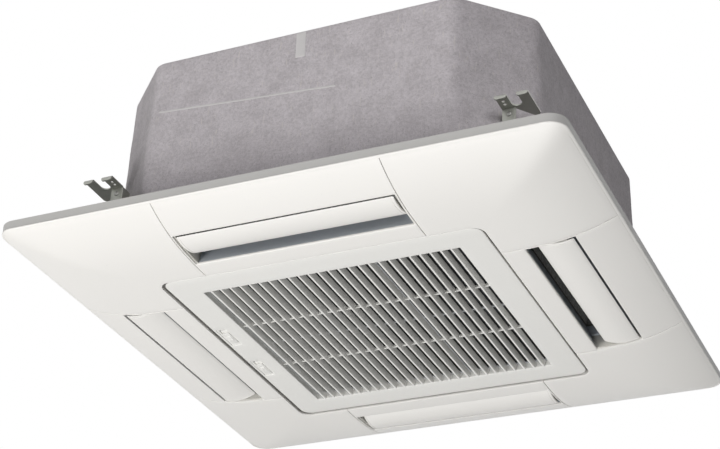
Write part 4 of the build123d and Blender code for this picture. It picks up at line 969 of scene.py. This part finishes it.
# %% The body's plan as a line to walk along
BODY, FLAT, BODY_R, DRAFT, TOP = 279.3, 199.5, 28.0, 0.0213, 240.0
START = (-60, BODY)
eight = [(-FLAT, BODY), (-BODY, FLAT), (-BODY, -FLAT), (-FLAT, -BODY),
         (FLAT, -BODY), (BODY, -FLAT), (BODY, FLAT), (FLAT, BODY)]
plan = traced([(*START, 0)] + [(x, y, BODY_R) for x, y in eight] + [(-START[0], BODY, 0)], 1.0)
plan = np.roll(plan, -int(np.argmin(np.abs(plan - START).sum(1))), 0)
ring_steps = np.linalg.norm(np.roll(plan, -1, 0) - plan, axis=1)
walk = np.concatenate([[0], np.cumsum(ring_steps)])
GIRTH = walk[-1]
out_of = -(drawn_in(plan, 1.0) - plan)
out_of /= np.linalg.norm(out_of, axis=1)[:, None]
plan_closed, out_closed = np.vstack([plan, plan[:1]]), np.vstack([out_of, out_of[:1]])


def at_wall(s):
    """Plan points and outward directions at distances along the wall."""
    point, out = (np.column_stack([np.interp(s, walk, line[:, k]) for k in (0, 1)])
                  for line in (plan_closed, out_closed))
    return point, out / np.linalg.norm(out, axis=1)[:, None]


def along_wall(x, y):
    """Distance along the wall of the plan point nearest to X, Y."""
    return walk[int(np.argmin(np.hypot(plan[:, 0] - x, plan[:, 1] - y)))]


CHAMFER = (BODY + FLAT) / sqrt(2)


def on_chamfer(sx, sy, side):
    """Distance along the wall at a chamfer, this far from its middle, towards X when positive."""
    out, across = np.array((sx, sy)) / sqrt(2), np.array((sx, -sy)) / sqrt(2)
    return along_wall(*(out * CHAMFER + across * side))


bracket_spans = [sorted((on_chamfer(*signs, -26), on_chamfer(*signs, 42))) for signs in CORNERS.values()]
fold = along_wall(30, -BODY)


def swell(s, z):
    """How far the felt stands off its even surface: waves, swells at the brackets and one fold."""
    off = np.array([0.55 * noise.noise((a / 70, b / 60, 3.1)) + 0.28 * noise.noise((a / 17, b / 21, 8.3))
                    for a, b in zip(s, z)])
    for start, end in bracket_spans:
        middle, half = (start + end) / 2, (end - start) / 2
        off += 3.2 * np.exp(-((s - middle) / (half * 0.95)) ** 4 - ((z - 70) / 9.5) ** 2)
        for edge in (start, end):
            off += 1.6 * np.exp(-((s - edge) / 6) ** 2 - ((z - 36) / 26) ** 2)
    off -= 0.9 * np.exp(-((z - 212 + 0.04 * (s - fold)) / 2.2) ** 2 - ((s - fold) / 26) ** 4)
    return off * np.clip((TOP - z) / 6, 0, 1) * np.clip(z / 6, 0.3, 1)


def on_felt(s, z, depth):
    point, out = at_wall(s)
    off = swell(s, z) - DRAFT * z - depth
    return np.column_stack([point + out * off[:, None], z])


# %% [markdown]
# The wrap is cut out where the bracket bases, the pipe cover and the cable gland pass through it.
# Narrow tapes lie on the front, and a wide one closes the joint of the wrap at the rear.

# %% Felt and its tapes
wrap = rectangle(0.2, GIRTH - 0.2, 0, TOP, 0, 4.0)
cut_outs = [rectangle(start, end, 18, 59, 3.0) for start, end in bracket_spans]
cut_outs.append(rectangle(*sorted((on_chamfer(-1, 1, -46), on_chamfer(-1, 1, 46))), 143, 230, 4.0))
cut_outs.append(circle(19, (along_wall(90, BODY), 70), 36))
felt = sheet(wrap, cut_outs, on_felt, 1.2, 5.9, 5.0, 30.0)
piece("felt", [felt], FELT, stands_for=["outer_insulation"], sharp=50)


def tape(start, end, wide, lift=0.25):
    """A strip of tape on the felt between two (along, height) points."""
    (s0, z0), (s1, z1) = start, end
    long = hypot(s1 - s0, z1 - z0)
    u, v = (s1 - s0) / long, (z1 - z0) / long

    def on_strip(a, b, depth):
        return on_felt(s0 + a * u - b * v, z0 + a * v + b * u, depth - lift)

    return sheet(rectangle(0, long, -wide / 2, wide / 2, 0.5), [], on_strip, 0.05, lift, 5.0)


front, joint = along_wall(0, -BODY), GIRTH - 60.5
tapes = [tape((front, 238.5), (front + 0.8, 202), 12.5),
         tape((front - 188, 165), (front + 50, 148), 2.2, 0.15),
         tape((joint, 238), (joint, 3), 30)]
piece("tapes", tapes, TAPE)
print("felt:", len(felt[1]), "faces, girth", round(GIRTH), "mm")

# %% [markdown]
# ## Hanger brackets
# Each bracket is pressed from galvanised sheet. Its top plate has two prongs round the slot for
# the hanging rod, and the prongs' ends curl down. So the plate is drawn flat, prongs and all, and
# its place function bends whatever lies beyond the fold line round a small radius.

# %% Brackets
PLATE_TOP, SHEET, LEG_X, LEG_Y = 88.5, 1.9, 246.7, 247.3
FOLD_Y, FOLD_R, CURL = -271.8, 3.8, 1.45
PRONG_OUT, PRONG_TIP = 286.0, -280.9
SLOT_MIDDLE, SLOT_R, SLOT_BACK = 267, 6.2, -255
NAIL_X, NAIL_Y, NAIL_R = 253.6, (-255.7, -262.0), 2.0


def curled(x, y, depth):
    """Top plate: flat, then bent down past the fold line."""
    past = np.clip(FOLD_Y - y, 0, None)
    angle = np.clip(past / FOLD_R, 0, CURL)
    rest = past - angle * FOLD_R
    r = FOLD_R - depth
    out = FOLD_Y - r * np.sin(angle) - rest * np.cos(angle)
    down = PLATE_TOP - FOLD_R + r * np.cos(angle) - rest * np.sin(angle)
    flat = y >= FOLD_Y
    return np.column_stack([x, np.where(flat, y, out), np.where(flat, PLATE_TOP - depth, down)])


slot = [(*point, 0) for point in circle(SLOT_R, (SLOT_MIDDLE, SLOT_BACK), 28)[14::-1]]
prongs = [(LEG_X, PRONG_TIP, 3.2), (SLOT_MIDDLE - SLOT_R, PRONG_TIP, 3.2), *slot,
          (SLOT_MIDDLE + SLOT_R, PRONG_TIP, 3.2), (PRONG_OUT, PRONG_TIP, 3.2),
          (PRONG_OUT, -213, 5), (261, -LEG_Y + 1, 1), (LEG_X, -LEG_Y + 1, 0.5)]
nail_holes = [circle(NAIL_R, (NAIL_X, y), 18) for y in NAIL_Y]
top = sheet(traced(prongs, 2.0), nail_holes, curled, 0.45, SHEET, 2.6, 4.0)


def upright_y(at):
    """A sheet that stands across Y: its plan is X and height."""
    return lambda x, z, depth: np.column_stack([x, at + depth, z])


def upright_x(at):
    """A sheet that stands across X: its plan is Y and height."""
    return lambda y, z, depth: np.column_stack([at + depth, y, z])


DIAGONAL, BASE = sqrt(0.5), CHAMFER - 4.0


def on_base(side, z, depth):
    """The base plate lies on the drafted chamfer of the front right corner."""
    out = BASE - DRAFT * z - depth
    return np.column_stack([(side + out) * DIAGONAL, (side - out) * DIAGONAL, z])


leg = sheet(rectangle(246.9, 263, 30, PLATE_TOP - 0.8, 1.5), [], upright_y(-LEG_Y), 0.4, SHEET, 4.0)
web_out = LEG_X - (CHAMFER - 1.2) / DIAGONAL
web = [(-247.0, 30, 1.0), (web_out + 12, 30, 4), (web_out + 12, 56, 3), (web_out + 1.5, 60, 2),
       (web_out + 1.5, PLATE_TOP - 1, 1), (-247.0, PLATE_TOP - 1, 0.5)]
web = sheet(traced(web), [], upright_x(LEG_X), 0.4, SHEET, 4.0)
base = sheet(rectangle(-24, 40, 20, 58, 2.0), [], on_base, 0.4, SHEET, 6.0)
for corner, signs in CORNERS.items():
    parts = [cornered(part, *signs) for part in (top, leg, web, base)]
    piece("bracket_" + corner, parts, ZINC, stands_for=["hanger_bracket_" + corner], sharp=45)
print("bracket:", sum(len(part[1]) for part in parts), "faces")

# %% [markdown]
# Three rivets hold each bracket, twelve screws the top plate, and one screw each corner of the
# panel. A screw has a cross recess, and each stands at its own turn.

# %% Rivets and screws
RIVET = [(0, -1.5), (1.8, -1.5), (1.8, 0), (3.4, 0), (3.3, 0.5),
         (2.7, 1.1), (1.6, 1.45), (0.9, 1.5), (0.85, 1.2), (0, 1.2)]
RIVET_Z = 36
out = BASE - DRAFT * RIVET_Z
spots = []
for sx, sy in CORNERS.values():
    spots.append(((sx * 255, sy * LEG_Y, 79), (0, sy, 0)))
    for side in (-12, 28):
        point = (sx * (out + side) * DIAGONAL, sy * (out - side) * DIAGONAL, RIVET_Z)
        spots.append((point, (sx * DIAGONAL, sy * DIAGONAL, 0)))
scattered("rivets", lathe(RIVET, 18), spots, 0.0, 1, "bracket_rivets")


def cross_head(radius, tall, arm, half):
    """A round screw head facing up, with a cross recess of this arm and half width."""
    rim, cross = circle(radius), np.array([(arm, -half), (arm, half), (half, half)])
    for _ in range(3):
        cross = np.vstack([cross, cross[-3:] @ ((0, 1), (-1, 0))])
    cross = cross[::-1]
    flat, faces, loops = triangles([rim * 0.8, cross], 100)
    points = [level(flat, tall)]
    count = len(flat)
    sides = [(0.93, tall * 0.85), (1.0, tall * 0.45), (1.0, 0.0)]
    for ring, loop, steps in ((rim, loops[0], sides), (cross, loops[1], [(0.7, tall * 0.35)])):
        for scale, z in steps:
            here = list(range(count, count + len(ring)))
            points.append(level(ring * scale, z))
            faces += bridge(loop, here)
            loop, count = here, count + len(ring)
        faces.append(tuple(loop))
    return np.vstack(points), faces


LID_Z, LID_EDGE = 237.2, 6.3 + DRAFT * 236
spots = []
for quarter in range(4):
    for along in (-150, 0, 150):
        point = Matrix.Rotation(quarter * pi / 2, 3, "Z") @ Vector((along, LID_EDGE + 9 - BODY, LID_Z))
        spots.append((tuple(point), (0, 0, 1)))
scattered("plate_screws", cross_head(4, 2.3, 2.0, 0.45), spots, 6.28, 4, "top_screws")
spots = [((sx * BOSS, sy * BOSS, FLOOR_Z), (0, 0, -1)) for sx, sy in CORNERS.values()]
scattered("cover_screws", cross_head(5, 2.6, 2.8, 0.6), spots, 6.28, 9, "panel_screws")

# %% [markdown]
# ## Top plate
# Nobody sees the top in the photograph, but a fitter does. It is a steel sheet stiffened by
# pressed ribs: a ring round the fan motor, a square ring further out and eight spokes between.

# %% Pressed top plate
RING, SQUARE, SQUARE_R, RIB, SHOULDER, LID_SHEET = 114, 211, 55, 2.2, 3.5, 1.2


def plate_height(x, y):
    """Height of the sheet over X, Y: flat, with soft ribs."""
    r = np.hypot(x, y)
    flat = SQUARE - SQUARE_R
    over = [np.clip(np.abs(c) - flat, 0, None) for c in (x, y)]
    box = np.where((over[0] > 0) | (over[1] > 0), flat + np.hypot(*over), 0)
    near = np.minimum(np.abs(r - RING) - 3, np.abs(box - SQUARE) - 2)
    angle = (np.arctan2(y, x) + pi / 8) % (pi / 4) - pi / 8
    spoke = np.where((r > RING + 2) & (box < SQUARE + 1), np.abs(r * np.sin(angle)) - 2, 99)
    rise = np.clip(1 - np.minimum(near, spoke) / SHOULDER, 0, 1)
    return LID_Z + RIB * rise * rise * (3 - 2 * rise)


def on_top(x, y, depth):
    return np.column_stack([x, y, plate_height(x, y) - depth])


lid = sheet(drawn_in(plan, LID_EDGE)[::3], [], on_top, 0.3, LID_SHEET, 3.0, 30.0)
piece("lid", [lid], ZINC, stands_for=["top_plate"], sharp=60)
print("lid:", len(lid[1]), "faces")

# %% [markdown]
# ## Finishes for the solids that stay
# What the CAD made well enough keeps its shape and only gets its finish.

# %% Dress the remaining solids
DRESS = {
    SEAL: ["panel_seal"],
    DUCT: ["outlet_duct_" + side for side in SIDES] + ["bell_mouth"],
    GREY: ["louvre_motor_" + side for side in SIDES] + ["filter_frame", "float_switch", "drain_socket"],
    BLACK: ["louvre_bushes", "turbo_fan", "drain_pump", "terminal_block", "cable_gland"],
    SHAFT: ["hinge_pins", "fan_shaft"],
    NET: ["filter_mesh"],
    ZINC: ["cabinet", "coil_end_plates", "pipe_cover", "control_box", "control_lid"],
    FOAM: ["side_liner", "drain_pan"],
    SCREW: ["fan_nut"],
    MOTOR: ["fan_motor"],
    RUBBER: ["motor_mounts", "drain_hose"],
    FINS: ["coil_fins"],
    COPPER: ["coil_return_bends", "gas_pipe", "liquid_pipe"],
    BRASS: ["gas_flare_nut", "liquid_flare_nut"],
    BOARD: ["control_board"],
}
for finish, names in DRESS.items():
    for name in names:
        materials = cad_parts[name].data.materials
        materials.clear()
        materials.append(finish)
for name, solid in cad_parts.items():
    if not solid.hide_render and not (solid.data.materials and solid.data.materials[0] in DRESS):
        print("no finish yet:", name)

# %% [markdown]
# ## Floor
# A plain pale floor lies six metres below, so that even a camera under the unit stands above it.
# The camera looks up and doesn't see it, but it bounces light on the panel, and it catches the
# shadow in views from above.

# %% Floor
GROUND = -6.0
mesh = bpy.data.meshes.new("floor")
mesh.from_pydata([(x, y, GROUND) for x, y in ((-20, -20), (20, -20), (20, 20), (-20, 20))], [], [range(4)])
floor = bpy.data.objects.new("floor", mesh)
scene.collection.objects.link(floor)
finish = Finish("floor")
tone = finish.mix(finish.noise(0.5), srgb(238, 238, 238), srgb(242, 242, 242))
mesh.materials.append(finish.done(tone, 0.8))
